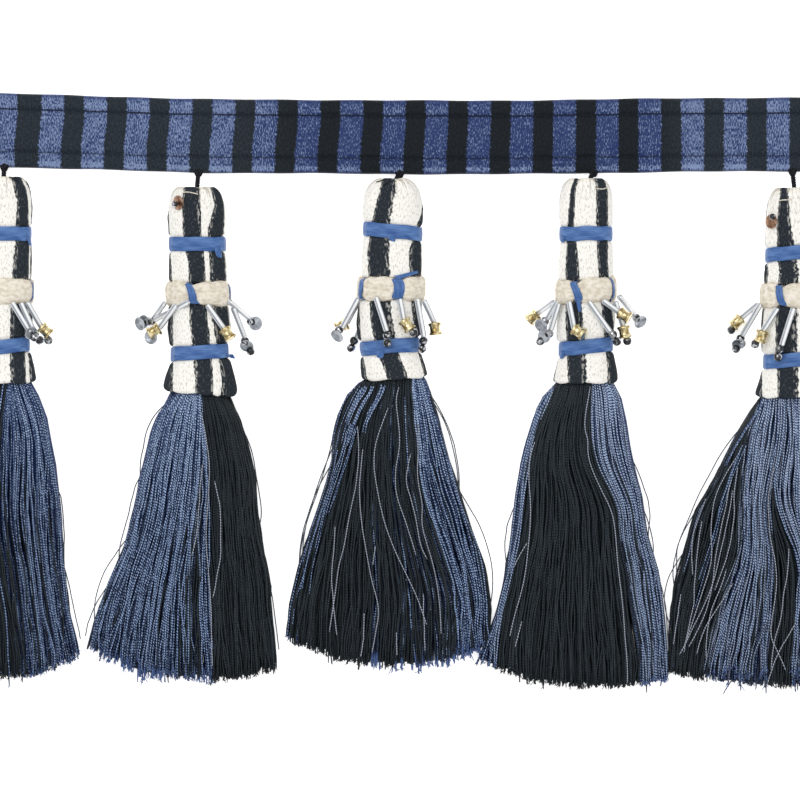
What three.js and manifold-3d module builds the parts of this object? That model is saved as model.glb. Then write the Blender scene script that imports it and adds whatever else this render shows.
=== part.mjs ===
// Beaded tassel trim: a striped heading tape with five tassels, lying face up on a flat surface.
// Millimetres, +Z up, +X along the tape and -Y down the tassels.
// The origin is the middle of the tape's flat back.

import * as THREE from 'three';
import { mergeVertices } from 'three/addons/utils/BufferGeometryUtils.js';
import Module from 'manifold-3d';

const wasm = await Module();
wasm.setup();

// Heading tape: a satin ribbon folded double, sewn along a line inside each edge.
const TAPE_LENGTH = 250;
const TAPE_STEPS = 16;
// Where the tape's middle wanders: along the trim, and up or down the table.
const TAPE_LINE = [
  { x: -125, y: 2.0 },
  { x: -75, y: 0.9 },
  { x: -25, y: 0.0 },
  { x: 25, y: -0.25 },
  { x: 75, y: 0.45 },
  { x: 125, y: 0.5 },
];
// The tape's section from its lower to its upper edge, pinched along both sewn lines.
const TAPE_SECTION = [
  { across: -9.4, thick: 1.5 },
  { across: -7.4, thick: 1.9 },
  { across: -5.4, thick: 1.35 },
  { across: -3.2, thick: 2.1 },
  { across: 0, thick: 2.3 },
  { across: 3.2, thick: 2.1 },
  { across: 5.4, thick: 1.35 },
  { across: 7.4, thick: 1.9 },
  { across: 9.4, thick: 1.5 },
];

// Clearance kept between pieces that touch on the real trim.
const GAP = 0.3;

// The hanging cord: a knot against the tape's lower edge, then a thin cord up into the head.
const CORD_RADIUS = 0.5;
const CORD_SIDES = 6;
const CORD_FOOT_HEIGHT = 1.25;
const CORD_HEAD_HEIGHT = 4.9;
const CORD_SECTIONS = [
  { along: 0, radius: 0.7 },
  { along: 0.14, radius: 1.1 },
  { along: 0.32, radius: 1.0 },
  { along: 0.5, radius: CORD_RADIUS },
  { along: 1, radius: CORD_RADIUS },
];

// The five tassels as they lie. Levels are distances down from the head's top, half widths are the
// head's, and a slope says how far a band runs downhill for each millimetre to the right.
const TASSELS = [
  { topX: -100.3, topY: -11.6, hemX: -100.1, upper: 13.3, wool: 27.9, lower: 42.0, hem: 51.4,
    upperSlope: 0, lowerSlope: -0.1, hemSlope: 0, bodyHalf: 7.9, hemHalf: 8.6 },
  { topX: -50.5, topY: -13.0, hemX: -49.8, upper: 14.5, wool: 27.1, lower: 42.0, hem: 52.8,
    upperSlope: 0, lowerSlope: -0.06, hemSlope: 0.08, bodyHalf: 7.2, hemHalf: 9.2 },
  { topX: -1.1, topY: -11.8, hemX: -0.4, upper: 12.5, wool: 27.1, lower: 41.7, hem: 50.2,
    upperSlope: 0.09, lowerSlope: -0.08, hemSlope: -0.06, bodyHalf: 7.75, hemHalf: 7.9 },
  { topX: 48.0, topY: -11.8, hemX: 47.9, upper: 13.1, wool: 27.6, lower: 41.7, hem: 51.2,
    upperSlope: 0, lowerSlope: -0.11, hemSlope: 0, bodyHalf: 6.9, hemHalf: 8.25 },
  { topX: 101.1, topY: -13.2, hemX: 100.3, upper: 16.5, wool: 27.4, lower: 43.7, hem: 53.5,
    upperSlope: -0.1, lowerSlope: -0.06, hemSlope: 0, bodyHalf: 7.6, hemHalf: 9.0 },
];

// The pattern head that every tassel is stretched from.
const HEAD_SIDES = 12;
const PATTERN = { upper: 14.3, wool: 28.2, lower: 42.8, hem: 52.5, bodyHalf: 7.4, hemHalf: 8.6 };
// How far each side of a band's middle keeps its own length while the head between is stretched.
const BAND_HOLD = 2.2;
const WOOL_HOLD = 4.3;
// Sections of the pattern head: distance down, half width, and the heights of its back and front.
const WAIST = { half: 6.3, low: 1.3, high: 11.0 };
const WOOL_WAIST = { half: 5.0, low: 3.3, high: 9.4 };
const LOWER_WAIST = { half: 6.5, low: 1.3, high: 11.2 };
const HEAD_SECTIONS = [
  { down: 0, half: 2.6, low: 2.4, high: 7.6 },
  { down: 0.9, half: 5.4, low: 1.2, high: 10.4 },
  { down: 3.2, half: 7.0, low: 0.3, high: 11.8 },
  { down: 7.5, half: 7.4, low: 0, high: 12 },
  { down: 12.1, half: 7.2, low: 0, high: 11.9 },
  { down: 12.5, ...WAIST },
  { down: 16.1, ...WAIST },
  { down: 16.5, half: 7.2, low: 0, high: 11.9 },
  { down: 20.5, half: 7.5, low: 0, high: 12 },
  { down: 23.8, half: 7.3, low: 0, high: 11.9 },
  { down: 24.1, ...WOOL_WAIST },
  { down: 32.3, ...WOOL_WAIST },
  { down: 32.6, half: 7.3, low: 0, high: 12 },
  { down: 36.5, half: 7.6, low: 0, high: 12.2 },
  { down: 40.6, half: 7.3, low: 0, high: 12 },
  { down: 41.0, ...LOWER_WAIST },
  { down: 44.6, ...LOWER_WAIST },
  { down: 45.0, half: 7.4, low: 0, high: 12 },
  { down: 48.5, half: 8.2, low: 0, high: 12.6 },
  { down: 51.6, half: 8.6, low: 0, high: 12.8 },
  { down: 52.5, half: 8.3, low: 0.3, high: 12.5 },
  { down: 52.5, half: 7.8, low: 1.1, high: 11.7 },
  { down: 50.3, half: 7.0, low: 1.7, high: 11.1 },
];
// A head's section is a superellipse, pressed flat where it lies on the surface.
const ROUNDNESS = 0.8;
const PRESSED = 1.15;

// Ribbon bands sit in the two waists, and the wool band in the deeper one. Each is bent from a plain
// hoop of this radius and a tube of radius 1.
const HOOP_RADIUS = 2;
const FLAT_SIDES = 4;
const RIBBON_TALL = 3.4;
const RIBBON_THICK = 0.7;
const WOOL_SIDES = 6;
const WOOL_MIDDLE = 2.2;
const WOOL_HALF_THICK = 1.0;
const WOOL_HALF_TALL = 2.9;

// The whipping ribbon: a ring under the wool band, with loops that come up over the wool.
const WHIP_RING_INNER = GAP;
const WHIP_RING_OUTER = 0.75;
const WHIP_RING_TALL = 2.4;
const LOOP_THICK = 0.5;
const LOOP_UNDER_THICK = 0.4;
const LOOP_HALF_TURN = 7;
const LOOP_UNDER_GAP = 0.45;
// Where the loops cross the wool of each tassel, in degrees from the right side over the front.
const LOOP_TURNS = [
  [32, 125],
  [6, 99],
  [81, 176],
  [36, 106],
  [20, 112],
];

// Bead fringe: a stringing thread over the front of the head, just under the wool band, with glass
// bugles hanging from it that end in small beads.
const THREAD_DOWN = PATTERN.wool + 5;
const THREAD_TALL = 0.5;
const THREAD_INNER = GAP;
const THREAD_OUTER = 0.8;
const THREAD_START = -12;
const THREAD_END = 192;
const THREAD_STEPS = 8;
const BUGLE_RADIUS = 0.8;
const BUGLE_SIDES = 5;
const BUGLE_LIFT = 1.25;
const TIP_SETBACK = 0.9;
// End pieces past a bugle's tip: a round bead, or a cup disc or a spool held by a small round bead.
const ENDS = {
  bead: [
    { past: 0, radius: 0.75 },
    { past: 0.5, radius: 1.15 },
    { past: 1.2, radius: 1.15 },
    { past: 1.8, radius: 0.6 },
  ],
  cup: [
    { past: 0.1, radius: 1.7 },
    { past: 0.7, radius: 1.7 },
    { past: 0.8, radius: 0.95 },
    { past: 1.7, radius: 0.6 },
  ],
  spool: [
    { past: 0.1, radius: 1.5 },
    { past: 2.4, radius: 1.5 },
    { past: 2.5, radius: 0.85 },
    { past: 3.2, radius: 0.6 },
  ],
};
// How high a bugle's tip lies, by its distance from the head's middle.
const TIP_HEIGHTS = [
  { across: 0, up: 13.8 },
  { across: 5, up: 13.2 },
  { across: 8, up: 11.4 },
  { across: 10, up: 7.6 },
  { across: 12, up: 2.2 },
  { across: 15, up: 2.0 },
];
// The bugles of each tassel: where they leave the thread and where they end, across and below the wool.
const DANGLES = [
  [
    { root: -8.2, tip: -12.6, below: 7.0, end: 'cup' },
    { root: -6.4, tip: -10.4, below: 8.6, end: 'spool' },
    { root: -2.8, tip: -8.1, below: 9.1, end: 'bead' },
    { root: 2.8, tip: 8.1, below: 9.1, end: 'bead' },
    { root: 6.4, tip: 10.4, below: 8.6, end: 'spool' },
    { root: 8.2, tip: 12.6, below: 7.0, end: 'cup' },
  ],
  [
    { root: -8.2, tip: -12.4, below: 7.0, end: 'cup' },
    { root: -3.0, tip: -8.6, below: 7.2, end: 'bead' },
    { root: -6.2, tip: -9.8, below: 9.6, end: 'spool' },
    { root: 2.3, tip: 6.9, below: 9.2, end: 'spool' },
    { root: 8.2, tip: 12.7, below: 6.9, end: 'cup' },
    { root: 7.4, tip: 10.9, below: 10.4, end: 'cup' },
  ],
  [
    { root: -8.2, tip: -12.3, below: 8.6, end: 'cup' },
    { root: -6.6, tip: -9.4, below: 12.0, end: 'bead' },
    { root: -3.9, tip: -1.9, below: 10.4, end: 'bead' },
    { root: 1.9, tip: 2.7, below: 7.9, end: 'spool' },
    { root: 6.0, tip: 7.7, below: 11.9, end: 'bead' },
    { root: 8.2, tip: 11.6, below: 8.9, end: 'spool' },
  ],
  [
    { root: -8.2, tip: -12.4, below: 6.4, end: 'spool' },
    { root: -7.2, tip: -9.9, below: 9.5, end: 'cup' },
    { root: -4.0, tip: -3.8, below: 9.0, end: 'spool' },
    { root: 0.8, tip: 5.8, below: 10.1, end: 'bead' },
    { root: 6.4, tip: 10.2, below: 9.6, end: 'spool' },
    { root: 8.2, tip: 12.4, below: 6.6, end: 'cup' },
  ],
  [
    { root: -8.2, tip: -13.4, below: 6.4, end: 'spool' },
    { root: -7.8, tip: -12.0, below: 10.7, end: 'bead' },
    { root: -4.8, tip: -9.2, below: 8.6, end: 'spool' },
    { root: -1.3, tip: -4.3, below: 11.8, end: 'bead' },
    { root: 4.0, tip: 8.6, below: 9.0, end: 'spool' },
    { root: 8.2, tip: 12.4, below: 7.2, end: 'cup' },
  ],
];

// Shoulder sequins: a small copper disc under a bead, sewn to two of the heads.
const SEQUIN_RADIUS = 1.5;
const SEQUIN_THICK = 0.5;
const SEQUIN_SIDES = 8;
const SEQUIN_BEAD = 0.8;
const BEAD_SIDES = 5;
const BEAD_RINGS = 3;
const SEQUINS = [
  { tassel: 1, across: -5.3, down: 3.9 },
  { tassel: 4, across: -6.1, down: 8.4 },
];

// Skirts: locks of cut thread that fan out of the hem onto the surface.
// Left and right reaches are measured from the hem's middle, ends are drops below the hem.
const REACH_DROPS = [10, 28, 66];
const SKIRTS = [
  { left: [11.2, 16.0, 24.5], right: [10.2, 14.0, 18.7], ends: [68, 74.7, 68] },
  { left: [11.8, 16.0, 29.0], right: [10.7, 14.3, 18.6], ends: [64, 72.6, 70] },
  { left: [13.8, 18.9, 27.8], right: [12.3, 17.8, 22.2], ends: [66, 73, 66] },
  { left: [12.2, 16.7, 25.0], right: [10.8, 14.2, 20.2], ends: [70, 76.7, 75.4] },
  { left: [13.1, 21.6, 30.2], right: [12.4, 17.5, 25.0], ends: [70.6, 75.5, 72] },
];
// Sections of a skirt: drop below the hem, half width inside the hem, and the heights of its
// underside, middle and top. The underside is rounded by the belly, and lies flat from the third on.
const SKIRT_STATIONS = [
  { drop: -1.3, half: 6.5, floor: 2.2, middle: 6.5, top: 10.8, belly: 4.3 },
  { drop: 0.8, half: 7.7, floor: 1.7, middle: 6.3, top: 11.1, belly: 4.2 },
  { drop: 10, floor: 0, middle: 3, top: 10.9, belly: 0 },
  { drop: 28, floor: 0, middle: 1.6, top: 8, belly: 0 },
  { drop: 66, floor: 0, middle: 1, top: 4.8, belly: 0 },
];
const SKIRT_ROWS = [
  { from: 0, to: 0.29, locks: 6 },
  { from: 0.35, to: 0.62, locks: 6 },
  { from: 0.68, to: 1, locks: 9 },
];
const ROW_REACH = 0.88;
const EDGE_FROM = 0.91;
const LOCK_FILL_ROOT = 0.8;
const LOCK_FILL_END = 0.84;
const END_JITTER = 1.4;
const EDGE_THICK = 0.12;
// The backing that the locks are fused into, inside the hem.
const BACKING = { from: 50.6, to: 51.6, half: 6.6, low: 2.0, high: 10.8 };
const LOCK_STEPS = SKIRT_STATIONS.length - 1;

const satin = new THREE.MeshStandardMaterial({ color: 0x33457a, roughness: 0.45, metalness: 0 });
const blackCord = new THREE.MeshStandardMaterial({ color: 0x15181c, roughness: 0.8, metalness: 0 });
const braid = new THREE.MeshStandardMaterial({ color: 0xd8d6d0, roughness: 0.8, metalness: 0 });
const ribbon = new THREE.MeshStandardMaterial({ color: 0x3f66b0, roughness: 0.4, metalness: 0 });
const wool = new THREE.MeshStandardMaterial({ color: 0xded0ba, roughness: 0.95, metalness: 0 });
const glass = new THREE.MeshStandardMaterial({ color: 0xb8bcc0, roughness: 0.15, metalness: 0.2 });
const copper = new THREE.MeshStandardMaterial({ color: 0x9c6a48, roughness: 0.3, metalness: 0.7 });
const rayon = new THREE.MeshStandardMaterial({ color: 0x2c3a5e, roughness: 0.5, metalness: 0 });

// Straight-line reading of a table: the value in one column where another column has the given value.
function read(rows, from, to, at) {
  const last = rows.length - 1;
  let k = 0;
  while (k < last - 1 && rows[k + 1][from] < at) k += 1;
  const span = rows[k + 1][from] - rows[k][from];
  const share = THREE.MathUtils.clamp((at - rows[k][from]) / span, 0, 1);
  return THREE.MathUtils.lerp(rows[k][to], rows[k + 1][to], share);
}

// Whether a point of a unit tube is the middle of one of its end caps.
function isCapMiddle(x, z) {
  return Math.hypot(x, z) < 0.5;
}

// A primitive with every point moved by a rule, and its shared points merged.
function reshaped(primitive, rule) {
  const geometry = primitive.clone();
  const points = geometry.getAttribute('position');
  for (let i = 0; i < points.count; i += 1) {
    points.setXYZ(i, ...rule(points.getX(i), points.getY(i), points.getZ(i)));
  }
  geometry.deleteAttribute('normal');
  geometry.deleteAttribute('uv');
  return mergeVertices(geometry);
}

function solid(geometry) {
  const merged = reshaped(geometry, (x, y, z) => [x, y, z]);
  const vertProperties = new Float32Array(merged.getAttribute('position').array);
  const triVerts = new Uint32Array(merged.getIndex().array);
  return new wasm.Manifold(new wasm.Mesh({ numProp: 3, vertProperties, triVerts }));
}

// One closed body from several that overlap.
function joined(geometries) {
  const whole = geometries.map(solid).reduce((sum, next) => sum.add(next));
  const { vertProperties, triVerts } = whole.getMesh();
  const geometry = new THREE.BufferGeometry();
  geometry.setAttribute('position', new THREE.BufferAttribute(vertProperties, 3));
  geometry.setIndex(new THREE.BufferAttribute(triVerts, 1));
  return geometry;
}

// A point of the pattern head, moved to where one tassel has it.
function place(tassel, down, across, up) {
  const anchors = [{ pattern: 0, real: 0, slope: 0 }];
  const holds = { upper: BAND_HOLD, wool: WOOL_HOLD, lower: BAND_HOLD };
  const slopes = { upper: tassel.upperSlope, wool: 0, lower: tassel.lowerSlope };
  for (const [band, hold] of Object.entries(holds)) {
    for (const side of [-hold, hold]) {
      anchors.push({ pattern: PATTERN[band] + side, real: tassel[band] + side, slope: slopes[band] });
    }
  }
  anchors.push({ pattern: PATTERN.hem, real: tassel.hem, slope: tassel.hemSlope });
  const widths = [
    { at: PATTERN.lower, width: tassel.bodyHalf / PATTERN.bodyHalf },
    { at: PATTERN.hem, width: tassel.hemHalf / PATTERN.hemHalf },
  ];
  const side = across * read(widths, 'at', 'width', down);
  const real = read(anchors, 'pattern', 'real', down) + read(anchors, 'pattern', 'slope', down) * side;
  const lean = (tassel.hemX - tassel.topX) * (down / PATTERN.hem);
  return [tassel.topX + lean + side, tassel.topY - real, up];
}

// The point of a head's section at an angle from its right side over the front, grown by an offset.
function around(section, angle, offset = 0) {
  const half = section.half + offset;
  const low = section.low - offset;
  const high = section.high + offset;
  const middle = (low + high) / 2;
  const curve = (value) => Math.sign(value) * Math.abs(value) ** ROUNDNESS;
  const rise = curve(Math.sin(angle));
  const reach = rise > 0 ? high - middle : (middle - low) * PRESSED;
  return { across: half * curve(Math.cos(angle)), up: Math.max(low, middle + reach * rise) };
}

// The height of a section's front over a place across it.
function frontHeight(section, across, offset) {
  const share = Math.min(1, Math.abs(across) / (section.half + offset));
  const middle = (section.low + section.high) / 2;
  const power = 2 / ROUNDNESS;
  return middle + (section.high + offset - middle) * (1 - share ** power) ** (1 / power);
}

function sectionAt(down) {
  const body = HEAD_SECTIONS.slice(0, HEAD_SECTIONS.length - 2);
  const column = (name) => read(body, 'down', name, down);
  return { half: column('half'), low: column('low'), high: column('high') };
}

function tapeMiddle(x) {
  return read(TAPE_LINE, 'x', 'y', x);
}

function headingTape() {
  const rows = TAPE_SECTION.length - 1;
  const strip = new THREE.BoxGeometry(1, 1, 1, TAPE_STEPS, rows, 1);
  return reshaped(strip, (x, y, z) => {
    const along = x * TAPE_LENGTH;
    const { across, thick } = TAPE_SECTION[Math.round((y + 0.5) * rows)];
    return [along, tapeMiddle(along) + across, z > 0 ? thick : 0];
  });
}

function hangingCord(tassel) {
  const steps = CORD_SECTIONS.length - 1;
  const tube = new THREE.CylinderGeometry(1, 1, 1, CORD_SIDES, steps);
  const edge = TAPE_SECTION[0].across;
  const top = tapeMiddle(tassel.topX) + edge - GAP;
  const run = top - (tassel.topY + GAP);
  const rise = CORD_HEAD_HEIGHT - CORD_FOOT_HEIGHT;
  return reshaped(tube, (x, y, z) => {
    const { along, radius } = CORD_SECTIONS[Math.round((0.5 - y) * steps)];
    const smooth = along * along * (3 - 2 * along);
    const steep = rise * 6 * along * (1 - along);
    const length = Math.hypot(run, steep);
    const across = radius * z;
    return [
      tassel.topX + radius * x,
      top - run * along + across * (steep / length),
      CORD_FOOT_HEIGHT + rise * smooth + across * (run / length),
    ];
  });
}

function head(tassel) {
  const steps = HEAD_SECTIONS.length - 1;
  const tube = new THREE.CylinderGeometry(1, 1, 1, HEAD_SIDES, steps);
  return reshaped(tube, (x, y, z) => {
    const section = HEAD_SECTIONS[Math.round((0.5 - y) * steps)];
    if (isCapMiddle(x, z)) return place(tassel, section.down, 0, (section.low + section.high) / 2);
    const { across, up } = around(section, Math.atan2(z, x));
    return place(tassel, section.down, across, up);
  });
}

// A ring around the head. Its section comes from a rule that turns the angle around the ring's own
// thickness into an offset from the waist and a distance down.
function ring(tassel, waist, sides, rule) {
  const hoop = new THREE.TorusGeometry(HOOP_RADIUS, 1, sides, HEAD_SIDES);
  return reshaped(hoop, (x, y, z) => {
    const { offset, down } = rule(Math.atan2(z, Math.hypot(x, y) - HOOP_RADIUS));
    const { across, up } = around(waist, Math.atan2(y, x), offset);
    return place(tassel, down, across, up);
  });
}

// The corner of a flat band's section, for the four angles that a square tube has.
function bandCorner(angle, inner, outer, middle, tall) {
  const turned = angle + Math.PI / 4;
  return {
    offset: Math.cos(turned) > 0 ? outer : inner,
    down: middle + Math.sign(Math.sin(turned)) * (tall / 2),
  };
}

function ribbonBand(tassel, waist, middle) {
  const outer = GAP + RIBBON_THICK;
  return ring(tassel, waist, FLAT_SIDES, (angle) => bandCorner(angle, GAP, outer, middle, RIBBON_TALL));
}

function woolSection(angle, inGap, outGap) {
  const inward = Math.cos(angle) < 0;
  const thick = WOOL_HALF_THICK + (inward ? inGap : outGap);
  const tall = (WOOL_HALF_TALL + outGap) / Math.sin(Math.PI / 3);
  return {
    offset: WOOL_MIDDLE + thick * Math.cos(angle),
    down: PATTERN.wool + tall * Math.sin(angle),
  };
}

function woolBand(tassel) {
  return ring(tassel, WOOL_WAIST, WOOL_SIDES, (angle) => woolSection(angle, 0, 0));
}

function whippingLoop(tassel, turn) {
  const hoop = new THREE.TorusGeometry(HOOP_RADIUS, 1, FLAT_SIDES, WOOL_SIDES);
  return reshaped(hoop, (x, y, z) => {
    const turned = Math.atan2(z, Math.hypot(x, y) - HOOP_RADIUS) + Math.PI / 4;
    const outside = Math.cos(turned) > 0 ? 1 : 0;
    const side = Math.sign(Math.sin(turned)) * LOOP_HALF_TURN;
    const under = LOOP_UNDER_GAP + outside * LOOP_UNDER_THICK;
    const section = woolSection(Math.atan2(y, x), under, GAP + outside * LOOP_THICK);
    const angle = THREE.MathUtils.degToRad(turn - side);
    const { across, up } = around(WOOL_WAIST, angle, section.offset);
    return place(tassel, section.down, across, up);
  });
}

function whippingRibbon(tassel, turns) {
  const hoop = ring(tassel, WOOL_WAIST, FLAT_SIDES, (angle) =>
    bandCorner(angle, WHIP_RING_INNER, WHIP_RING_OUTER, PATTERN.wool, WHIP_RING_TALL));
  return joined([hoop, ...turns.map((turn) => whippingLoop(tassel, turn))]);
}

function stringingThread(tassel) {
  const strip = new THREE.BoxGeometry(1, 1, 1, THREAD_STEPS, 1, 1);
  const section = sectionAt(THREAD_DOWN);
  return reshaped(strip, (x, y, z) => {
    const turn = THREE.MathUtils.lerp(THREAD_END, THREAD_START, x + 0.5);
    const offset = z > 0 ? THREAD_OUTER : THREAD_INNER;
    const { across, up } = around(section, THREE.MathUtils.degToRad(turn), offset);
    return place(tassel, THREAD_DOWN - y * THREAD_TALL, across, up);
  });
}

// A bugle from the thread to its tip, then its end piece, which lies level.
function dangle(tassel, { root, tip, below, end }) {
  const section = sectionAt(THREAD_DOWN);
  const rootUp = frontHeight(section, root, BUGLE_LIFT);
  const tipUp = read(TIP_HEIGHTS, 'across', 'up', Math.abs(tip));
  const start = new THREE.Vector3(...place(tassel, THREAD_DOWN, root, rootUp));
  const finish = new THREE.Vector3(...place(tassel, PATTERN.wool + below, tip, tipUp));
  const along = new THREE.Vector3().subVectors(finish, start).normalize();
  const level = along.clone().setZ(0).normalize();
  const upright = new THREE.Vector3(0, 0, 1);
  const rows = [
    { centre: start, axis: along, radius: BUGLE_RADIUS },
    { centre: finish.clone().addScaledVector(along, -TIP_SETBACK), axis: along, radius: BUGLE_RADIUS },
  ];
  for (const { past, radius } of ENDS[end]) {
    rows.push({ centre: finish.clone().addScaledVector(level, past), axis: level, radius });
  }
  const steps = rows.length - 1;
  const tube = new THREE.CylinderGeometry(1, 1, 1, BUGLE_SIDES, steps);
  return reshaped(tube, (x, y, z) => {
    const { centre, axis, radius } = rows[Math.round((0.5 - y) * steps)];
    const side = new THREE.Vector3().crossVectors(axis, upright).normalize();
    const under = new THREE.Vector3().crossVectors(axis, side);
    const point = centre.clone().addScaledVector(side, radius * x).addScaledVector(under, radius * z);
    return point.toArray();
  });
}

function beadFringe(tassel, dangles) {
  return joined([stringingThread(tassel), ...dangles.map((row) => dangle(tassel, row))]);
}

// A straight round piece between two points.
function rod(start, end, radius, sides) {
  const along = new THREE.Vector3().subVectors(end, start);
  const geometry = new THREE.CylinderGeometry(radius, radius, along.length(), sides);
  const turn = new THREE.Quaternion().setFromUnitVectors(
    new THREE.Vector3(0, 1, 0), along.clone().normalize());
  geometry.applyQuaternion(turn);
  const middle = new THREE.Vector3().addVectors(start, end).multiplyScalar(0.5);
  return geometry.translate(middle.x, middle.y, middle.z);
}

function shoulderSequin({ tassel, across, down }) {
  const section = sectionAt(down);
  const surface = new THREE.Vector3(across, 0, frontHeight(section, across, 0));
  const middle = (section.low + section.high) / 2;
  const steep = (value, reach) => Math.sign(value) * (Math.abs(value) / reach) ** (2 / ROUNDNESS - 1) / reach;
  const outward = new THREE.Vector3(
    steep(across, section.half), 0, steep(surface.z - middle, section.high - middle)).normalize();
  const at = (offset) => {
    const point = surface.clone().addScaledVector(outward, offset);
    return new THREE.Vector3(...place(TASSELS[tassel], down, point.x, point.z));
  };
  const disc = rod(at(GAP), at(GAP + SEQUIN_THICK), SEQUIN_RADIUS, SEQUIN_SIDES);
  const bead = new THREE.SphereGeometry(SEQUIN_BEAD, BEAD_SIDES, BEAD_RINGS);
  const seat = at(GAP + SEQUIN_THICK + SEQUIN_BEAD / 2);
  return joined([disc, bead.translate(seat.x, seat.y, seat.z)]);
}

// A repeatable uneven number from -1 to 1.
function uneven(seed) {
  const wave = Math.sin(seed * 127.1 + 31.7) * 43758.5453;
  return 2 * (wave - Math.floor(wave)) - 1;
}

function reachAt(reaches, drop) {
  const rows = REACH_DROPS.map((at, i) => ({ drop: at, reach: reaches[i] }));
  return read(rows, 'drop', 'reach', drop);
}

// The point of a skirt at one station, from -1 at its left to 1 at its right and 0 to 1 upwards.
function skirtPoint(tassel, skirt, step, share, rise, endJitter) {
  const station = SKIRT_STATIONS[step];
  const width = tassel.hemHalf / PATTERN.hemHalf;
  const reaches = share < 0 ? skirt.left : skirt.right;
  const reach = station.half ? station.half * width : reachAt(reaches, station.drop);
  const round = Math.sqrt(1 - Math.abs(share) ** 3) * (1 - EDGE_THICK) + EDGE_THICK;
  const base = station.floor + station.belly * (1 - round);
  const top = station.middle + (station.top - station.middle) * round;
  const ends = skirt.ends.map((drop, i) => ({ share: i - 1, drop }));
  const isEnd = step === LOCK_STEPS;
  const drop = isEnd ? read(ends, 'share', 'drop', share) + endJitter : station.drop;
  const slope = tassel.hemSlope * share * reach * (isEnd ? 0 : 1);
  return [
    tassel.hemX + share * reach,
    tassel.topY - tassel.hem - drop - slope,
    base + rise * (top - base),
  ];
}

function skirtLock(tassel, skirt, cell, seed) {
  const box = new THREE.BoxGeometry(1, 1, 1, 1, LOCK_STEPS, 1);
  const middle = (cell.left + cell.right) / 2;
  return reshaped(box, (x, y, z) => {
    const step = Math.round((0.5 - y) * LOCK_STEPS);
    const fill = THREE.MathUtils.lerp(LOCK_FILL_ROOT, LOCK_FILL_END, step / LOCK_STEPS);
    const share = middle + x * (cell.right - cell.left) * fill;
    const rise = z < 0 ? cell.from : cell.to;
    return skirtPoint(tassel, skirt, step, share, rise, END_JITTER * uneven(seed));
  });
}

function skirtBacking(tassel) {
  const disc = new THREE.CylinderGeometry(1, 1, 1, HEAD_SIDES, 1);
  return reshaped(disc, (x, y, z) => {
    const down = y > 0 ? BACKING.from : BACKING.to;
    if (isCapMiddle(x, z)) return place(tassel, down, 0, (BACKING.low + BACKING.high) / 2);
    const { across, up } = around(BACKING, Math.atan2(z, x));
    return place(tassel, down, across, up);
  });
}

function tasselSkirt(tassel, skirt, number) {
  const cells = SKIRT_ROWS.flatMap(({ from, to, locks }) => {
    const wide = (2 * ROW_REACH) / locks;
    return Array.from({ length: locks }, (_, i) => {
      const left = -ROW_REACH + i * wide;
      return { from, to, left, right: left + wide };
    });
  });
  cells.push({ from: 0, to: 1, left: -1, right: -EDGE_FROM }, { from: 0, to: 1, left: EDGE_FROM, right: 1 });
  const locks = cells.map((cell, i) => skirtLock(tassel, skirt, cell, number * cells.length + i));
  return joined([skirtBacking(tassel), ...locks]);
}

const trim = new THREE.Group();

function add(name, geometry, material) {
  const mesh = new THREE.Mesh(geometry, material);
  mesh.name = name;
  trim.add(mesh);
}

add('heading_tape', headingTape(), satin);
TASSELS.forEach((tassel, i) => {
  const number = i + 1;
  add(`hanging_cord_${number}`, hangingCord(tassel), blackCord);
  add(`head_${number}`, head(tassel), braid);
  add(`upper_band_${number}`, ribbonBand(tassel, WAIST, PATTERN.upper), ribbon);
  add(`lower_band_${number}`, ribbonBand(tassel, LOWER_WAIST, PATTERN.lower), ribbon);
  add(`wool_band_${number}`, woolBand(tassel), wool);
  add(`whipping_ribbon_${number}`, whippingRibbon(tassel, LOOP_TURNS[i]), ribbon);
  add(`bead_fringe_${number}`, beadFringe(tassel, DANGLES[i]), glass);
  add(`skirt_${number}`, tasselSkirt(tassel, SKIRTS[i], number), rayon);
});
SEQUINS.forEach((row) => add(`shoulder_sequin_${row.tassel + 1}`, shoulderSequin(row), copper));

export default trim;
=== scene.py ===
from collections import namedtuple

import bpy
import numpy as np
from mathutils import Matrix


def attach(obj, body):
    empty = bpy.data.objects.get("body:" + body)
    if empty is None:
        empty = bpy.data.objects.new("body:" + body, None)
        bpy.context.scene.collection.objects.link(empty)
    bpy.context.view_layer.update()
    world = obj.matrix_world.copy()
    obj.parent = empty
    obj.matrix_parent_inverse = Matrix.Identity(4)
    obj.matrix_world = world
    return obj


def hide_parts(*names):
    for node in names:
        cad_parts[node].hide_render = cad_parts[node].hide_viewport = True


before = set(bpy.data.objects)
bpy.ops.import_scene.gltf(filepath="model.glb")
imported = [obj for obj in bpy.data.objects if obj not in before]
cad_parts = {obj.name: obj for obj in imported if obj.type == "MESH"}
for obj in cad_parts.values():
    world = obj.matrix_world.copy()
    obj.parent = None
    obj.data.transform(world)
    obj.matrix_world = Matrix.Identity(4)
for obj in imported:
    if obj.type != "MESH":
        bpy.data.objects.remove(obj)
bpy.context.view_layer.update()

# The heading tape is a striped satin ribbon, folded double and sewn through near both edges. It lies on
# its flat back, wanders a little along its length, and puffs up between the two sewn lines.
MM = 0.001
TAPE_HALF = 9.4
TAPE_SEAM = 5.4
TAPE_MIDDLE_THICK = 2.2
TAPE_EDGE_DROP = 0.45
TAPE_SEAM_DEPTH = 0.8
TAPE_SEAM_WIDE = 0.5
TAPE_FOLD_RADIUS = 0.75
TAPE_LINE_X = (-125, -100, -75, -50, -25, 0, 25, 50, 75, 100, 125)
TAPE_LINE_Y = (2.0, 1.6, 0.9, 0.1, 0.0, -0.2, -0.25, 0.05, 0.45, 0.5, 0.5)
TAPE_ROWS = 330
TAPE_FRONT_COLUMNS = 52
TAPE_BACK_COLUMNS = 12
STITCH_PITCH = 2.3
STRIPE_PERIOD = 10.87
STRIPE_BLUE_MIDDLE = -0.89
STRIPE_BLUE_HALF = 2.88
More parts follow.
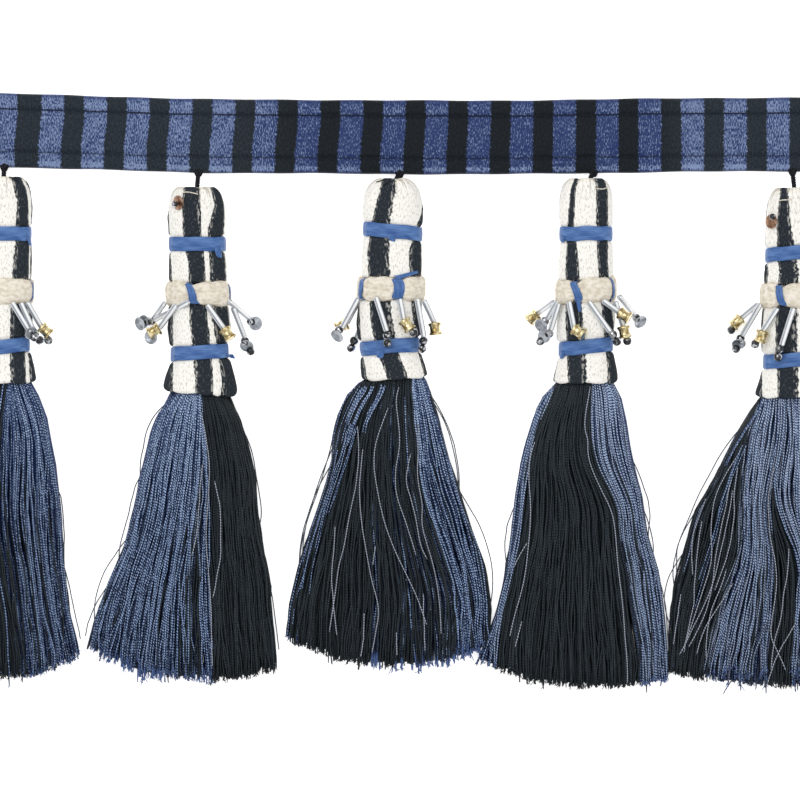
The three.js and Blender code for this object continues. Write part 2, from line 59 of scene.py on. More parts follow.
STRIPE_LEAN = 0.8
STRIPE_LEAN_TALL = 5.0
FIRST_GAP_AT = -93.6
FIRST_GAP_WIDER = 1.05
rng = np.random.default_rng(11)


def put_mesh(name, points, faces, uv=(), **attributes):
    """A mesh from an array of points and arrays of corner indices, one array for each size of face.
    The faces are turned round where the volume that they enclose is negative, so they point outwards."""
    volume = 0.0
    for corners in faces:
        for k in range(1, corners.shape[1] - 1):
            a, b, c = (points[corners[:, i]] for i in (0, k, k + 1))
            volume += np.einsum("ij,ij->", a, np.cross(b, c))
    step = -1 if volume < 0 else 1
    faces = [corners[:, ::step] for corners in faces]
    mesh = bpy.data.meshes.new(name)
    mesh.vertices.add(len(points))
    mesh.vertices.foreach_set("co", points.astype(np.float32).ravel())
    corners = np.concatenate([f.ravel() for f in faces]).astype(np.int32)
    sizes = np.concatenate([np.full(len(f), f.shape[1]) for f in faces])
    mesh.loops.add(len(corners))
    mesh.loops.foreach_set("vertex_index", corners)
    mesh.polygons.add(len(sizes))
    mesh.polygons.foreach_set("loop_start", (np.cumsum(sizes) - sizes).astype(np.int32))
    mesh.polygons.foreach_set("use_smooth", np.ones(len(sizes), dtype=bool))
    if len(uv):
        flat = np.concatenate([u[:, ::step].reshape(-1, 2) for u in uv])
        mesh.uv_layers.new(name="UVMap").data.foreach_set("uv", flat.astype(np.float32).ravel())
    for key, values in attributes.items():
        layer = mesh.attributes.new(key, "FLOAT", "POINT")
        layer.data.foreach_set("value", np.asarray(values, dtype=np.float32).ravel())
    mesh.update(calc_edges=True)
    return mesh


def tube_faces(rows, columns):
    """Corner indices of a tube of points, row after row: quads between the rows and a face on each end."""
    i = np.arange(rows - 1)[:, None] * columns
    j = np.arange(columns)[None, :]
    k = (j + 1) % columns
    quads = np.stack([i + j, i + k, i + columns + k, i + columns + j], axis=-1).reshape(-1, 4)
    ends = np.stack([np.arange(columns)[::-1], (rows - 1) * columns + np.arange(columns)])
    return quads, ends


def corner_steps(rows, columns):
    """The row and the column of each corner of a tube's quads, counted on past the seam."""
    i, j = np.divmod(np.arange((rows - 1) * columns), columns)
    return np.stack([i, i, i + 1, i + 1], axis=-1), np.stack([j, j + 1, j + 1, j], axis=-1)


def tube_mesh(name, points, along, around, **attributes):
    """A closed tube from points[row, column], with a UV map that reads lengths: `around` has one more column
    than the points, so that the last strip of faces ends at the full turn instead of at the start."""
    rows, columns, _ = points.shape
    quads, ends = tube_faces(rows, columns)
    corner_rows, corner_columns = corner_steps(rows, columns)
    side = np.broadcast_to(around, (rows, columns + 1))[corner_rows, corner_columns]
    length = np.broadcast_to(along[:, None], (rows, columns + 1))[corner_rows, corner_columns]
    uv = [np.stack([side, length], axis=-1), np.zeros((2, columns, 2))]
    return put_mesh(name, points.reshape(-1, 3), [quads, ends], uv, **attributes)


def wander(count, stations, knots, size):
    """Smooth random curves, one a row: normal random values at even knots, eased from one to the next."""
    values = rng.normal(size=(count, knots))
    at = np.linspace(0, knots - 1, stations)
    k = np.minimum(at.astype(int), knots - 2)
    f = at - k
    ease = f * f * (3 - 2 * f)
    return size * (values[:, k] * (1 - ease) + values[:, k + 1] * ease)


class Signal:
    """A socket of a material's nodes. Arithmetic on it adds Math nodes, and node() adds any other node."""

    def __init__(self, tree, socket=None):
        self.tree = tree
        self.socket = socket

    def put(self, socket, value):
        if isinstance(value, Signal):
            self.tree.links.new(value.socket, socket)
        else:
            socket.default_value = value

    def node(self, kind, settings=(), sockets=(), output=0):
        made = self.tree.nodes.new("ShaderNode" + kind)
        for name, value in dict(settings).items():
            setattr(made, name, value)
        for name, value in dict(sockets).items():
            self.put(made.inputs[name], value)
        return Signal(self.tree, made.outputs[output])

    def maths(self, operation, *values):
        return self.node("Math", {"operation": operation}, dict(enumerate(values)))

    def __add__(self, other):
        return self.maths("ADD", self, other)

    def __sub__(self, other):
        return self.maths("SUBTRACT", self, other)

    def __rsub__(self, other):
        return self.maths("SUBTRACT", other, self)

    def __mul__(self, other):
        return self.maths("MULTIPLY", self, other)

    def __truediv__(self, other):
        return self.maths("DIVIDE", self, other)

    def __mod__(self, other):
        return self.maths("FLOORED_MODULO", self, other)

    def __abs__(self):
        return self.maths("ABSOLUTE", self)

    __radd__ = __add__
    __rmul__ = __mul__

    def sine(self):
        return self.maths("SINE", self)

    def rise(self, low, high):
        """0 below low, 1 above high, eased between; it falls instead where low is the larger."""
        sockets = {"Value": self, "From Min": low, "From Max": high}
        return self.node("MapRange", {"interpolation_type": "SMOOTHSTEP"}, sockets)

    def blend(self, first, second):
        """A colour that goes from the first to the second as this signal goes from 0 to 1."""
        return self.node("Mix", {"data_type": "RGBA"}, {0: self, 6: first, 7: second}, output=2)

    def scaled(self, *factors):
        return self.node("VectorMath", {"operation": "MULTIPLY"}, {0: self, 1: factors})

    def grain(self, scale, detail=2.0):
        return self.node("TexNoise", {}, {"Vector": self, "Scale": scale, "Detail": detail})

    def axis(self, name):
        return self.node("SeparateXYZ", {}, {0: self}, output=name)

    def attribute(self, name):
        return self.node("Attribute", {"attribute_name": name}, output="Fac")


def paint(red, green, blue):
    """A colour as a shader reads it, from the three values from 0 to 255 that a screen shows."""
    shown = np.array([red, green, blue]) / 255
    light = np.where(shown <= 0.04045, shown / 12.92, ((shown + 0.055) / 1.055) ** 2.4)
    return (*light.tolist(), 1.0)


def new_material(name, **constants):
    """A Principled material with its even values set; returns it with a signal to build its nodes from."""
    material = bpy.data.materials.new(name)
    material.use_nodes = True
    shader = material.node_tree.nodes["Principled BSDF"]
    for key, value in constants.items():
        shader.inputs[key.replace("_", " ")].default_value = value
    return material, Signal(material.node_tree)


def surface(signal, colour=None, roughness=None, height=None, depth=0.0001):
    """Feeds a material's shader: colour, roughness, and a bump of the given depth in metres."""
    shader = signal.tree.nodes["Principled BSDF"]
    if colour is not None:
        signal.put(shader.inputs["Base Color"], colour)
    if roughness is not None:
        signal.put(shader.inputs["Roughness"], roughness)
    if height is not None:
        bump = signal.node("Bump", {}, {"Height": height, "Distance": depth})
        signal.put(shader.inputs["Normal"], bump)


def add_piece(name, mesh, material, slot, *nodes):
    """One finished piece of the trim, standing for the solids that are named."""
    mesh.materials.append(material)
    piece = bpy.data.objects.new(name, mesh)
    bpy.context.scene.collection.objects.link(piece)
    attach(piece, "root")
    if nodes:
        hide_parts(*nodes)
    return piece


def tape_middle(x):
    """Where the tape's middle line is, up or down the table: a smooth line through a few measured places."""
    near = np.linspace(-8, 8, 9)
    return np.mean([np.interp(x + shift, TAPE_LINE_X, TAPE_LINE_Y) for shift in near], axis=0)


def tape_front(x, across):
    """Height of the tape's face: a flat crown that falls to the edges, with a trough along each seam that
    is deeper at every stitch, rounded over at the folds."""
    far = np.abs(across)
    trough = np.exp(-(((far - TAPE_SEAM) / TAPE_SEAM_WIDE) ** 2))
    stitch = 0.8 + 0.2 * np.cos(2 * np.pi * x / STITCH_PITCH)
    crown = TAPE_MIDDLE_THICK - TAPE_EDGE_DROP * (far / TAPE_HALF) ** 2
    lumps = 0.07 * np.sin(x / 3.1 + across / 2.3) * np.sin(x / 7.7 - across / 3.7 + 1.0)
    fold = np.clip((far - TAPE_HALF + TAPE_FOLD_RADIUS) / TAPE_FOLD_RADIUS, 0, 1)
    return (crown + lumps - TAPE_SEAM_DEPTH * trough * stitch) * (0.35 + 0.65 * np.sqrt(1 - fold**2))


tape_x = np.linspace(TAPE_LINE_X[0], TAPE_LINE_X[-1], TAPE_ROWS)[:, None]
front_across = TAPE_HALF * np.sin(np.linspace(-np.pi / 2, np.pi / 2, TAPE_FRONT_COLUMNS))
even_across = np.linspace(-TAPE_HALF, TAPE_HALF, TAPE_FRONT_COLUMNS)
front_across = 0.75 * even_across + 0.25 * front_across
back_across = np.linspace(TAPE_HALF - 0.1, 0.1 - TAPE_HALF, TAPE_BACK_COLUMNS)
across = np.concatenate([front_across, back_across])[None, :]
is_front = np.arange(across.size) < TAPE_FRONT_COLUMNS
edge_wave = 0.12 * np.sin(tape_x / 4.3) * np.sin(tape_x / 9.1 + 0.7)
tape_y = tape_middle(tape_x) + across * (1 + edge_wave / TAPE_HALF)
tape_z = np.where(is_front, tape_front(tape_x, across), 0.02)
tape_points = np.stack(np.broadcast_arrays(tape_x, tape_y, tape_z), axis=-1) * MM
tape_mesh = tube_mesh("heading_tape", tape_points, tape_x[:, 0], np.append(across[0], across[0, 0]))

satin, s = new_material("heading_satin", Specular_IOR_Level=0.12)
uv = s.node("TexCoord", output="UV")
v, u = uv.axis("X"), uv.axis("Y")
ragged = uv.scaled(1.8, 0.6, 1).grain(1.0, 2.0) - 0.5
lean = u.rise(60, -20) * (v.rise(-STRIPE_LEAN_TALL, STRIPE_LEAN_TALL) - 0.62) * STRIPE_LEAN
first_gap = u.rise(FIRST_GAP_AT + 0.5, FIRST_GAP_AT - 0.5) * FIRST_GAP_WIDER
woven = u + first_gap - lean + ragged * 1.5 - STRIPE_BLUE_MIDDLE
phase = (woven + STRIPE_PERIOD / 2) % STRIPE_PERIOD - STRIPE_PERIOD / 2
is_blue = abs(phase).rise(STRIPE_BLUE_HALF + 0.16, STRIPE_BLUE_HALF - 0.16)
# fleck paints short light flecks along the satin's floats. They are partly the weave's own tone and partly
# painted highlight, and they also give the weave's bump.
fleck = uv.scaled(1.3, 3.9, 1).grain(1.0, 3.0)
mottle = uv.scaled(0.25, 0.35, 1).grain(1.0)
# Painted highlight: the blue is lighter in a strip above the upper seam, where the puffed satin would catch
# the light.
seam_highlight = v.rise(5.3, 5.9) * v.rise(9.1, 7.2)
# Painted highlight along the rounded lower fold.
fold_highlight = v.rise(-8.95, -8.5) * v.rise(-7.3, -7.9)
# Painted shade: the blue is darkened at the top fold edge.
top_fold_shade = 1 - v.rise(8.3, 9.0) * 0.7
sheen = u.rise(-20, -45) + u.rise(62, 76)
bright = fleck + seam_highlight * 0.04 + fold_highlight * 0.11 + (mottle - 0.5) * 0.2 + (sheen - 0.7) * 0.085
light = bright.rise(0.44, 0.66) * top_fold_shade
blue = light.blend(paint(41, 57, 104), paint(134, 152, 190))
speck = uv.scaled(1.4, 2.8, 1).grain(1.0, 4.0).rise(0.36, 0.8)
dull = sheen.blend(paint(20, 25, 30), paint(32, 39, 47))
lustre = sheen.blend(paint(37, 43, 49), paint(55, 63, 71))
black = speck.blend(dull, lustre)
seam_line = abs(abs(v) - TAPE_SEAM).rise(0.34, 0.12) * (0.45 + v.rise(0, 1) * 0.35) * (is_blue * 0.8 + 0.2)
stripes = seam_line.blend(is_blue.blend(black, blue), paint(17, 22, 44))
# Painted shade where the satin turns under at the lower fold.
under_fold_shade = v.rise(-8.9, -9.25) * 0.6
weave = (u * (2 * np.pi / 0.34)).sine() * 0.25 + fleck * (is_blue * 0.8 + 0.4)
surface(s, under_fold_shade.blend(stripes, paint(20, 26, 54)), 0.62 - is_blue * 0.17, weave, 0.00012)
heading = add_piece("heading_satin_tape", tape_mesh, satin, "heading_satin", "heading_tape")

# Two rows of machine stitches in navy thread hold the doubled ribbon together. Each stitch dips into the
# cloth at both ends.
STITCH_LONG = 1.85
STITCH_RADIUS = 0.13
STITCH_STATIONS = 7


def strand_mesh(name, paths, radius, sides, **attributes):
    """Many round strands in one mesh. paths[strand, station] are centres in metres; each section is a
    regular polygon across the strand's own direction with a corner on top, and a radius for every station.
    `flank` goes from -1 to 1 across the strand."""
    count, stations, _ = paths.shape
    along = np.gradient(paths, axis=1)
    along /= np.linalg.norm(along, axis=-1, keepdims=True)
    side = np.cross(along, [0.0, 0.0, 1.0])
    side /= np.linalg.norm(side, axis=-1, keepdims=True)
    over = np.cross(side, along)
    turn = np.pi / 2 + 2 * np.pi * np.arange(sides) / sides
    ring = side[:, :, None] * np.cos(turn)[:, None] + over[:, :, None] * np.sin(turn)[:, None]
    points = paths[:, :, None] + np.broadcast_to(radius, (count, stations))[:, :, None, None] * ring
    quads, ends = tube_faces(stations, sides)
    shift = (np.arange(count) * stations * sides)[:, None, None]
    faces = [(quads + shift).reshape(-1, 4), (ends + shift).reshape(-1, sides)]
    spread = {
        key: np.repeat(np.broadcast_to(values, (count, stations)).ravel(), sides)
        for key, values in attributes.items()
    }
    flank = np.tile(np.cos(turn) / np.abs(np.cos(turn)).max(), count * stations)
    return put_mesh(name, points.reshape(-1, 3), faces, flank=flank, **spread)


stitch_starts = np.arange(TAPE_LINE_X[0] + 1, TAPE_LINE_X[-1] - 2, STITCH_PITCH)
stitch_step = np.linspace(0, 1, STITCH_STATIONS)
stitch_x = np.concatenate([stitch_starts, stitch_starts])[:, None] + stitch_step * STITCH_LONG
stitch_side = np.repeat([TAPE_SEAM, -TAPE_SEAM], len(stitch_starts))[:, None]
stitch_arch = 0.16 * np.sin(np.pi * stitch_step) - np.where(stitch_side > 0, 0.12, 0.2)
stitch_paths = np.stack(
    np.broadcast_arrays(
        stitch_x,
        tape_middle(stitch_x) + stitch_side,
        tape_front(stitch_x, stitch_side) + stitch_arch,
    ),
    axis=-1,
)
navy, s = new_material("navy_stitching", Roughness=0.6, Specular_IOR_Level=0.1)
twist = s.node("TexCoord", output="Object").scaled(1, 0.4, 0.4).grain(3500.0)
surface(s, twist.blend(paint(22, 27, 34), paint(44, 51, 60)), None, twist, 0.00005)
stitch_mesh = strand_mesh("tape_stitching", stitch_paths * MM, STITCH_RADIUS * MM, 6)
stitching = add_piece("tape_stitching", stitch_mesh, navy, "heading_satin")

# The heads are rolls of black and white braid stripes, stuffed firm, gathered at the top and turned under
# at the hem. Two ribbons and a wool band draw them in.
Tassel = namedtuple(
    "Tassel",
    "top_x top_y hem_x upper wool lower hem upper_slope wool_slope lower_slope hem_slope "
    "body_half hem_half bow cord_x pucker",
)
TASSELS = (
    Tassel(-99.9, -10.4, -100.1, 14.5, 29.1, 43.2, 52.6, 0, 0, -0.1, 0, 7.4, 8.7, -0.5, 0.0, 0.1),
    Tassel(-51.0, -13.0, -49.8, 14.5, 27.1, 42.0, 52.8, 0, 0, -0.06, 0.08, 7.4, 9.6, 0.0, 0.5, 0.05),
    Tassel(-1.1, -10.8, -0.4, 13.5, 28.1, 42.7, 51.2, 0.09, 0, -0.08, -0.06, 7.7, 8.2, -1.3, 1.8, 0.3),
    Tassel(48.0, -10.8, 47.9, 14.1, 28.6, 42.7, 52.2, 0, -0.07, -0.11, 0, 6.9, 8.3, 0.0, 2.0, 0.08),
    Tassel(101.2, -13.2, 100.3, 16.5, 27.4, 43.7, 53.5, -0.1, 0, -0.06, 0, 7.6, 9.4, 0.0, -0.6, 0.05),
)
PATTERN = Tassel(0, 0, 0, 14.3, 28.2, 42.8, 52.5, 0, 0, 0, 0, 7.4, 8.6, 0, 0, 0)
BAND_HOLD = 2.2
WOOL_HOLD = 4.3
ROUNDNESS = 0.8
PRESSED = 1.15
HEAD_COLUMNS = 72
HEAD_ROWS = 120
HEAD_GIRTH = 44
HEM_FROM = 47
HEM_TALL = 5
HEM_ROUND = 0.7
PUCKER_LONG = 2.2
GATHER_TALL = 0.75
GATHER_LONG = 1.3
# Sections of the pattern head: distance down, half width, and the heights of its back and its front.
HEAD_SECTIONS = np.array(
    [
        (0.0, 3.4, 3.2, 8.2),
        (0.15, 4.7, 2.2, 9.4),
        (0.7, 5.9, 1.1, 10.7),
        (1.9, 6.7, 0.5, 11.5),
        (4.0, 7.15, 0.1, 11.9),
        (7.5, 7.4, 0.0, 12.0),
        (11.9, 7.25, 0.0, 11.9),
        (12.5, 6.6, 0.9, 11.2),
        (16.1, 6.6, 0.9, 11.2),
        (16.7, 7.25, 0.0, 11.9),
        (20.5, 7.45, 0.0, 12.0),
        (25.0, 7.4, 0.0, 11.9),
        (25.7, 6.2, 1.6, 10.6),
        (26.3, 5.4, 2.6, 9.8),
        (30.2, 5.4, 2.6, 9.8),
        (30.8, 6.4, 1.2, 11.0),
        (31.5, 7.7, 0.0, 12.0),
        (36.5, 8.05, 0.0, 12.2),
        (40.4, 7.7, 0.0, 12.0),
        (41.0, 6.7, 0.9, 11.4),
        (44.6, 6.7, 0.9, 11.4),
        (45.2, 7.5, 0.0, 12.1),
        (48.5, 8.25, 0.0, 12.6),
        (51.2, 8.6, 0.0, 12.8),
        (52.1, 8.55, 0.05, 12.75),
        (52.5, 8.2, 0.4, 12.4),
        (52.4, 7.8, 1.1, 11.8),
        (51.4, 7.4, 1.4, 11.4),
        (50.3, 7.0, 1.7, 11.1),
    ]
)
# Edges of the braid stripes as they show: distance down, then across from the head's middle, left to right.
# The first number says which edge the row starts with: 1 turns black to white, 2 white to black.
STRIPE_EDGES = (
    (2, [(0, 2.4, 4.9, 5.6), (3.3, 3.1, 6.3, 6.9), (5.8, 3.8, 6.6, 7.2), (10.9, 3.5, 6.7, 7.2),
         (17.3, 3.2, 6.9, 7.1), (23.6, 2.6, 6.8, 7.0), (36.3, 2.2, 6.3, 6.8), (45.2, 2.1, 6.0, 6.6),
         (51.6, 2.5, 6.3, 7.2)]),
    (1, [(0, -6.2, -3.3, 0.9, 3.9), (4.6, -7.3, -3.6, 1.2, 4.7), (11.4, -7.0, -3.5, 1.4, 2.6),
         (19.8, -6.8, -2.3, 2.0, 3.0), (35, -6.7, -2.3, 2.5, 3.3), (47.8, -7.0, -1.2, 3.4, 5.4)]),
    (1, [(0, -7.5, -3.6, 0.7, 7.9), (2.9, -8.6, -3.3, 0.6, 8.4), (9.3, -8.8, -4.8, -0.6, 7.3),
         (12, -8.9, -5.4, -0.9, 6.2), (19.4, -8.8, -6.7, -1.2, 3.8), (35.9, -8.9, -6.2, -0.5, 4.7),
         (47.4, -7.75, -3.4, 1.7, 6.5), (50.5, -7.4, -2.3, 2.8, 7.3)]),
    (2, [(0, -3.2, -2.2, 2.3, 5.0), (2.9, -4.1, -2.8, 2.5, 5.6), (11.8, -4.8, -3.3, 2.5, 5.6),
         (20.7, -5.3, -2.0, 2.9, 5.5), (35.9, -5.3, -0.9, 4.1, 6.9), (48.6, -4.7, 0.1, 5.5, 8.2)]),
    (1, [(0, -7.0, -4.1, -2.4), (6.9, -7.9, -4.8, -1.6), (13.2, -7.4, -4.8, -0.2), (20.8, -6.7, -4.0, 0.9),
         (36.1, -8.0, -4.8, 0.7), (48.8, -7.9, -4.0, 1.3)]),
)
STRIPES_ROUND = 8
STRIPE_GROOVE = 0.16


def bow_at(tassel, down):
    """How far a head's axis bows sideways: half a sine wave from the top to the hem, fullest low down."""
    return tassel.bow * np.sin(np.pi * np.clip(np.asarray(down) / PATTERN.hem, 0, 1) ** 2.4)


def lie(tassel, down, across, up):
    """A point of the pattern head moved to one tassel, in metres: its distance down is stretched between
    the bands, which keep their own length and slope, its width is scaled and puckered at the top, and the
    axis leans and bows."""
    bands = ((PATTERN.upper, tassel.upper, tassel.upper_slope, BAND_HOLD),
             (PATTERN.wool, tassel.wool, tassel.wool_slope, WOOL_HOLD),
             (PATTERN.lower, tassel.lower, tassel.lower_slope, BAND_HOLD))
    rows = [(0.0, 0.0, 0.0)]
    rows += [(a + side * hold, b + side * hold, slope) for a, b, slope, hold in bands for side in (-1, 1)]
    rows.append((PATTERN.hem, tassel.hem, tassel.hem_slope))
    at, real, slope = np.transpose(rows)
    widths = (tassel.body_half / PATTERN.body_half, tassel.hem_half / PATTERN.hem_half)
    side = across * np.interp(down, (PATTERN.lower, PATTERN.hem), widths)
    side = side * (1 - tassel.pucker * np.exp(-np.maximum(down, 0) / PUCKER_LONG))
    drop = np.interp(down, at, real) + np.interp(down, at, slope) * side
    x = tassel.top_x + (tassel.hem_x - tassel.top_x) * down / PATTERN.hem + side + bow_at(tassel, down)
    return np.stack(np.broadcast_arrays(x, tassel.top_y - drop, up), axis=-1) * MM


def squared_circle(angle, power):
    """A circle squared off: its cosine and its sine, each raised to a power with its sign kept."""
    return [np.sign(w) * np.abs(w) ** power for w in (np.cos(angle), np.sin(angle))]


def around_head(half, low, high, angle):
    """A head's section, a superellipse pressed flat underneath: across and up for an angle from its right
    side over the front."""
    middle = (low + high) / 2
    cosine, sine = squared_circle(angle, ROUNDNESS)
    reach = np.where(sine > 0, high - middle, (middle - low) * PRESSED)
    return half * cosine, np.maximum(low, middle + reach * sine)


def section_at(down):
    """Half width, back and front height of the pattern head at a distance down, read from the table."""
    body = HEAD_SECTIONS[HEAD_SECTIONS[:, 0].argmax()::-1][::-1]
    return [np.interp(down, body[:, 0], body[:, k]) for k in (1, 2, 3)]


def stripe_wave(tassel, first, edges, down, angle):
    """Above 0 on white braid and below 0 on black, 0 along the edges. Between the edges that show, the stripe
    count rises evenly from edge to edge, and round the back it goes on evenly to a whole even number."""
    rows = np.array(edges)
    half = section_at(down)[0] * np.interp(
        down, (PATTERN.lower, PATTERN.hem),
        (tassel.body_half / PATTERN.body_half, tassel.hem_half / PATTERN.hem_half))
    columns = (rows[:, 1:] - bow_at(tassel, rows[:, :1])).T
    share = np.stack([np.interp(down, rows[:, 0], column) for column in columns]) / half
    turn = np.arccos(np.clip(np.sign(share) * np.abs(share) ** (1 / ROUNDNESS), -1, 1))
    turn = (turn + np.sign(-share) * np.maximum(np.abs(share) - 1, 0) * 1.2)[:, :, None]
    between = turn[:-1] - turn[1:]
    count = first + np.clip((turn[:-1] - angle) / between, 0, 1).sum(axis=0)
    back = (STRIPES_ROUND - len(between)) / (2 * np.pi - turn[0] + turn[-1])
    count += back * (np.maximum(turn[-1] - angle, 0) - np.maximum(angle - turn[0], 0))
    return -np.sin(np.pi * count)


def head_rows():
    """The pattern head's sections at even steps along its outline, eased by a short running mean."""
    steps = np.hypot(np.diff(HEAD_SECTIONS[:, 0]), np.diff(HEAD_SECTIONS[:, 1]))
    length = np.concatenate([[0], np.cumsum(steps)])
    fine = np.linspace(0, length[-1], HEAD_ROWS)
    near = np.linspace(-0.45, 0.45, 7)
    reads = [[np.interp(np.clip(fine + n, 0, length[-1]), length, column) for n in near]
             for column in HEAD_SECTIONS.T]
    return fine, np.mean(reads, axis=1)


braid, s = new_material("striped_braid", Specular_IOR_Level=0.06)
uv = s.node("TexCoord", output="UV")
u, v = uv.axis("X"), uv.axis("Y")
stripe = s.attribute("stripe")
fray = uv.scaled(2.0, 0.9, 1).grain(1.0) - 0.5
is_white = (stripe + fray * 0.55).rise(-0.07, 0.07)
chevron = (abs((u / 1.5) % 1.0 - 0.5) * 1.4 + v) * (2 * np.pi / 0.78)
knit = chevron.sine() * 0.5 + 0.5
pits = uv.scaled(3.8, 1.0, 1).grain(1.0, 2.0).rise(0.51, 0.66)
# The knit's valleys are painted a little darker on the white braid: painted shade.
ivory = (pits * 0.45 + (1 - knit) * 0.06).blend(paint(254, 252, 246), paint(158, 150, 138))
cream_and_pleat_shade = (v.rise(4.5, 0.5) * 0.6).blend(ivory, paint(232, 222, 198))
# Painted shade: darker brown strokes in the pleats where the braid is gathered at the top, laid over the
# braid's cream tone there.
pleat_shade = uv.scaled(1.9, 0.18, 1).grain(1.0, 2.0).rise(0.48, 0.64) * v.rise(9.0, 1.5) * 0.6
cream_and_pleat_shade = pleat_shade.blend(cream_and_pleat_shade, paint(128, 116, 100))
dash = uv.scaled(2.6, 0.62, 1).grain(1.0).rise(0.5, 0.6)
dash = dash * stripe.rise(-0.62, -0.3) * stripe.rise(-0.02, -0.16)
lint = uv.scaled(3.4, 1.2, 1).grain(1.0, 3.0).rise(0.5, 0.72) * 0.5
# The knit's ridges are painted a little lighter on the black braid: painted highlight.
soot = (knit * 0.07 + lint).blend(paint(38, 44, 50), paint(92, 97, 104))
ebony = (dash * 0.6).blend(soot, paint(214, 211, 204))
height = knit * 0.12 + uv.scaled(1.5, 1.2, 1).grain(1.0, 3.0) * 0.8
surface(s, is_white.blend(ebony, cream_and_pleat_shade), 0.85, height, 0.00014)

head_angle = -np.pi / 2 + 2 * np.pi * np.arange(HEAD_COLUMNS) / HEAD_COLUMNS
head_length, (head_down, head_half, head_low, head_high) = head_rows()
arc_mm = np.linspace(0, HEAD_GIRTH, HEAD_COLUMNS + 1)
is_body = np.arange(HEAD_ROWS) <= head_down.argmax()
for number, (tassel, (first, edges)) in enumerate(zip(TASSELS, STRIPE_EDGES), 1):
    wave = stripe_wave(tassel, first, edges, head_down, head_angle[None, :])
    ridge = np.exp(-((wave / 0.3) ** 2))
    lumps = wander(HEAD_COLUMNS, HEAD_ROWS, 26, 0.07).T
    lumps = (lumps + np.roll(lumps, 1, axis=1) + np.roll(lumps, 2, axis=1)) / 2
    puff = (lumps - STRIPE_GROOVE * ridge) * is_body[:, None]
    half = head_half[:, None] + puff
    across, up = around_head(half, head_low[:, None], head_high[:, None] + puff, head_angle[None, :])
    gather = GATHER_TALL * (np.abs(wave) - 0.5) + 0.1 * np.sin(9 * head_angle)
    gather = gather * np.exp(-head_down / GATHER_LONG)[:, None]
    down = np.maximum(head_down[:, None] - gather * is_body[:, None], -0.35)
    at_hem = np.clip((head_down - HEM_FROM) / HEM_TALL, 0, 1)[:, None] ** 2
    down = down - at_hem * (HEM_ROUND * np.abs(np.cos(head_angle)) ** 9 - 0.35 * (np.abs(wave) - 0.6))
    points = lie(tassel, down, across, up)
    mesh = tube_mesh(f"head_{number}", points, head_length, arc_mm, stripe=wave)
    piece = add_piece(f"braid_head_{number}", mesh, braid, "striped_braid", f"head_{number}")

# Each head is tied twice with narrow blue satin ribbon, wrapped tight with its cut end tucked or left
# standing out as a short tail.
RIBBON_TALL = 3.6
RIBBON_THICK = 0.35
RIBBON_OUT = 0.6
RIBBON_SUNK = 0.2
RIBBON_BOW = 0.12
RIBBON_GIRTH = 46
RIBBON_ROWS = 112
RIBBON_SECTION = 16
TAIL_STATIONS = 12
TAIL_SECTION = 12
TAIL_TUCKED = 0.9
Tail = namedtuple("Tail", "tassel band across reach slant wide")
TAILS = (
    Tail(1, "upper", 6.6, 1.1, 0.5, 0.9),
    Tail(2, "upper", 5.2, 1.9, 0.4, 1.7),
    Tail(2, "lower", 7.4, 0.2, 0.7, 1.6),
    Tail(3, "upper", -0.3, 0.7, 0.2, 2.0),
    Tail(3, "lower", -2.4, 1.0, -0.4, 1.9),
    Tail(4, "upper", -6.3, 0.4, -0.3, 1.0),
    Tail(4, "lower", -6.4, 0.6, -0.3, 1.0),
)


def rounded_strip(wide, thick, corners):
    """The section of a flat ribbon: a superellipse, wide along the first axis and thick along the second."""
    cosine, sine = squared_circle(2 * np.pi * np.arange(corners) / corners, 0.45)
    return wide / 2 * cosine, thick / 2 * sine


def ring_faces(rows, columns):
    """Corner indices of a tube that closes on itself: the quads of one more row, which is the first again."""
    quads, _ = tube_faces(rows + 1, columns)
    return quads % (rows * columns)


def closed_wander(stations, knots, size):
    """A smooth random curve round a ring, as a column: one half is random and the other its mirror image."""
    half = wander(1, stations // 2, knots, size)[0]
    return np.concatenate([half, half[::-1]])[:, None]


ribbon, s = new_material("blue_ribbon", Specular_IOR_Level=0.2)
uv = s.node("TexCoord", output="UV")
lines = uv.scaled(5.5, 0.3, 1).grain(1.0, 3.0)
sweep = uv.scaled(0.5, 0.16, 1).grain(1.0)
shine = (lines * 0.55 + sweep * 0.75).rise(0.42, 0.9)
colour = shine.blend(paint(50, 86, 146), paint(104, 140, 194))
surface(s, colour, 0.5 - sweep * 0.15, lines, 0.00006)

ring_angle = 2 * np.pi * np.arange(RIBBON_ROWS) / RIBBON_ROWS
for number, tassel in enumerate(TASSELS, 1):
    for band, level in (("upper", PATTERN.upper), ("lower", PATTERN.lower)):
        half, low, high = (float(w) for w in section_at(level))
        tall, thick = rounded_strip(RIBBON_TALL, RIBBON_THICK, RIBBON_SECTION)
        crease = closed_wander(RIBBON_ROWS, 18, 0.06)
        bow = RIBBON_BOW * (1 - (2 * tall / RIBBON_TALL) ** 2)[None, :]
        offset = RIBBON_OUT - RIBBON_SUNK + thick[None, :] + crease + bow
        sway = closed_wander(RIBBON_ROWS, 9, 0.08)
        across, up = around_head(half + offset, low - offset, high + offset, ring_angle[:, None])
        points = lie(tassel, level + tall[None, :] + sway, across, np.maximum(up, 0.05))
        quads = ring_faces(RIBBON_ROWS, RIBBON_SECTION)
        corner_rows, corner_columns = corner_steps(RIBBON_ROWS + 1, RIBBON_SECTION)
        side = np.append(tall, tall[0]) + 0.2 * np.append(np.arange(RIBBON_SECTION), 0)
        ring_uv = np.stack([side[corner_columns], corner_rows * (RIBBON_GIRTH / RIBBON_ROWS)], axis=-1)
        name = f"{band}_ribbon_{number}"
        mesh = put_mesh(name, points.reshape(-1, 3), [quads], [ring_uv])
        add_piece(name, mesh, ribbon, "blue_ribbon", f"{band}_band_{number}")


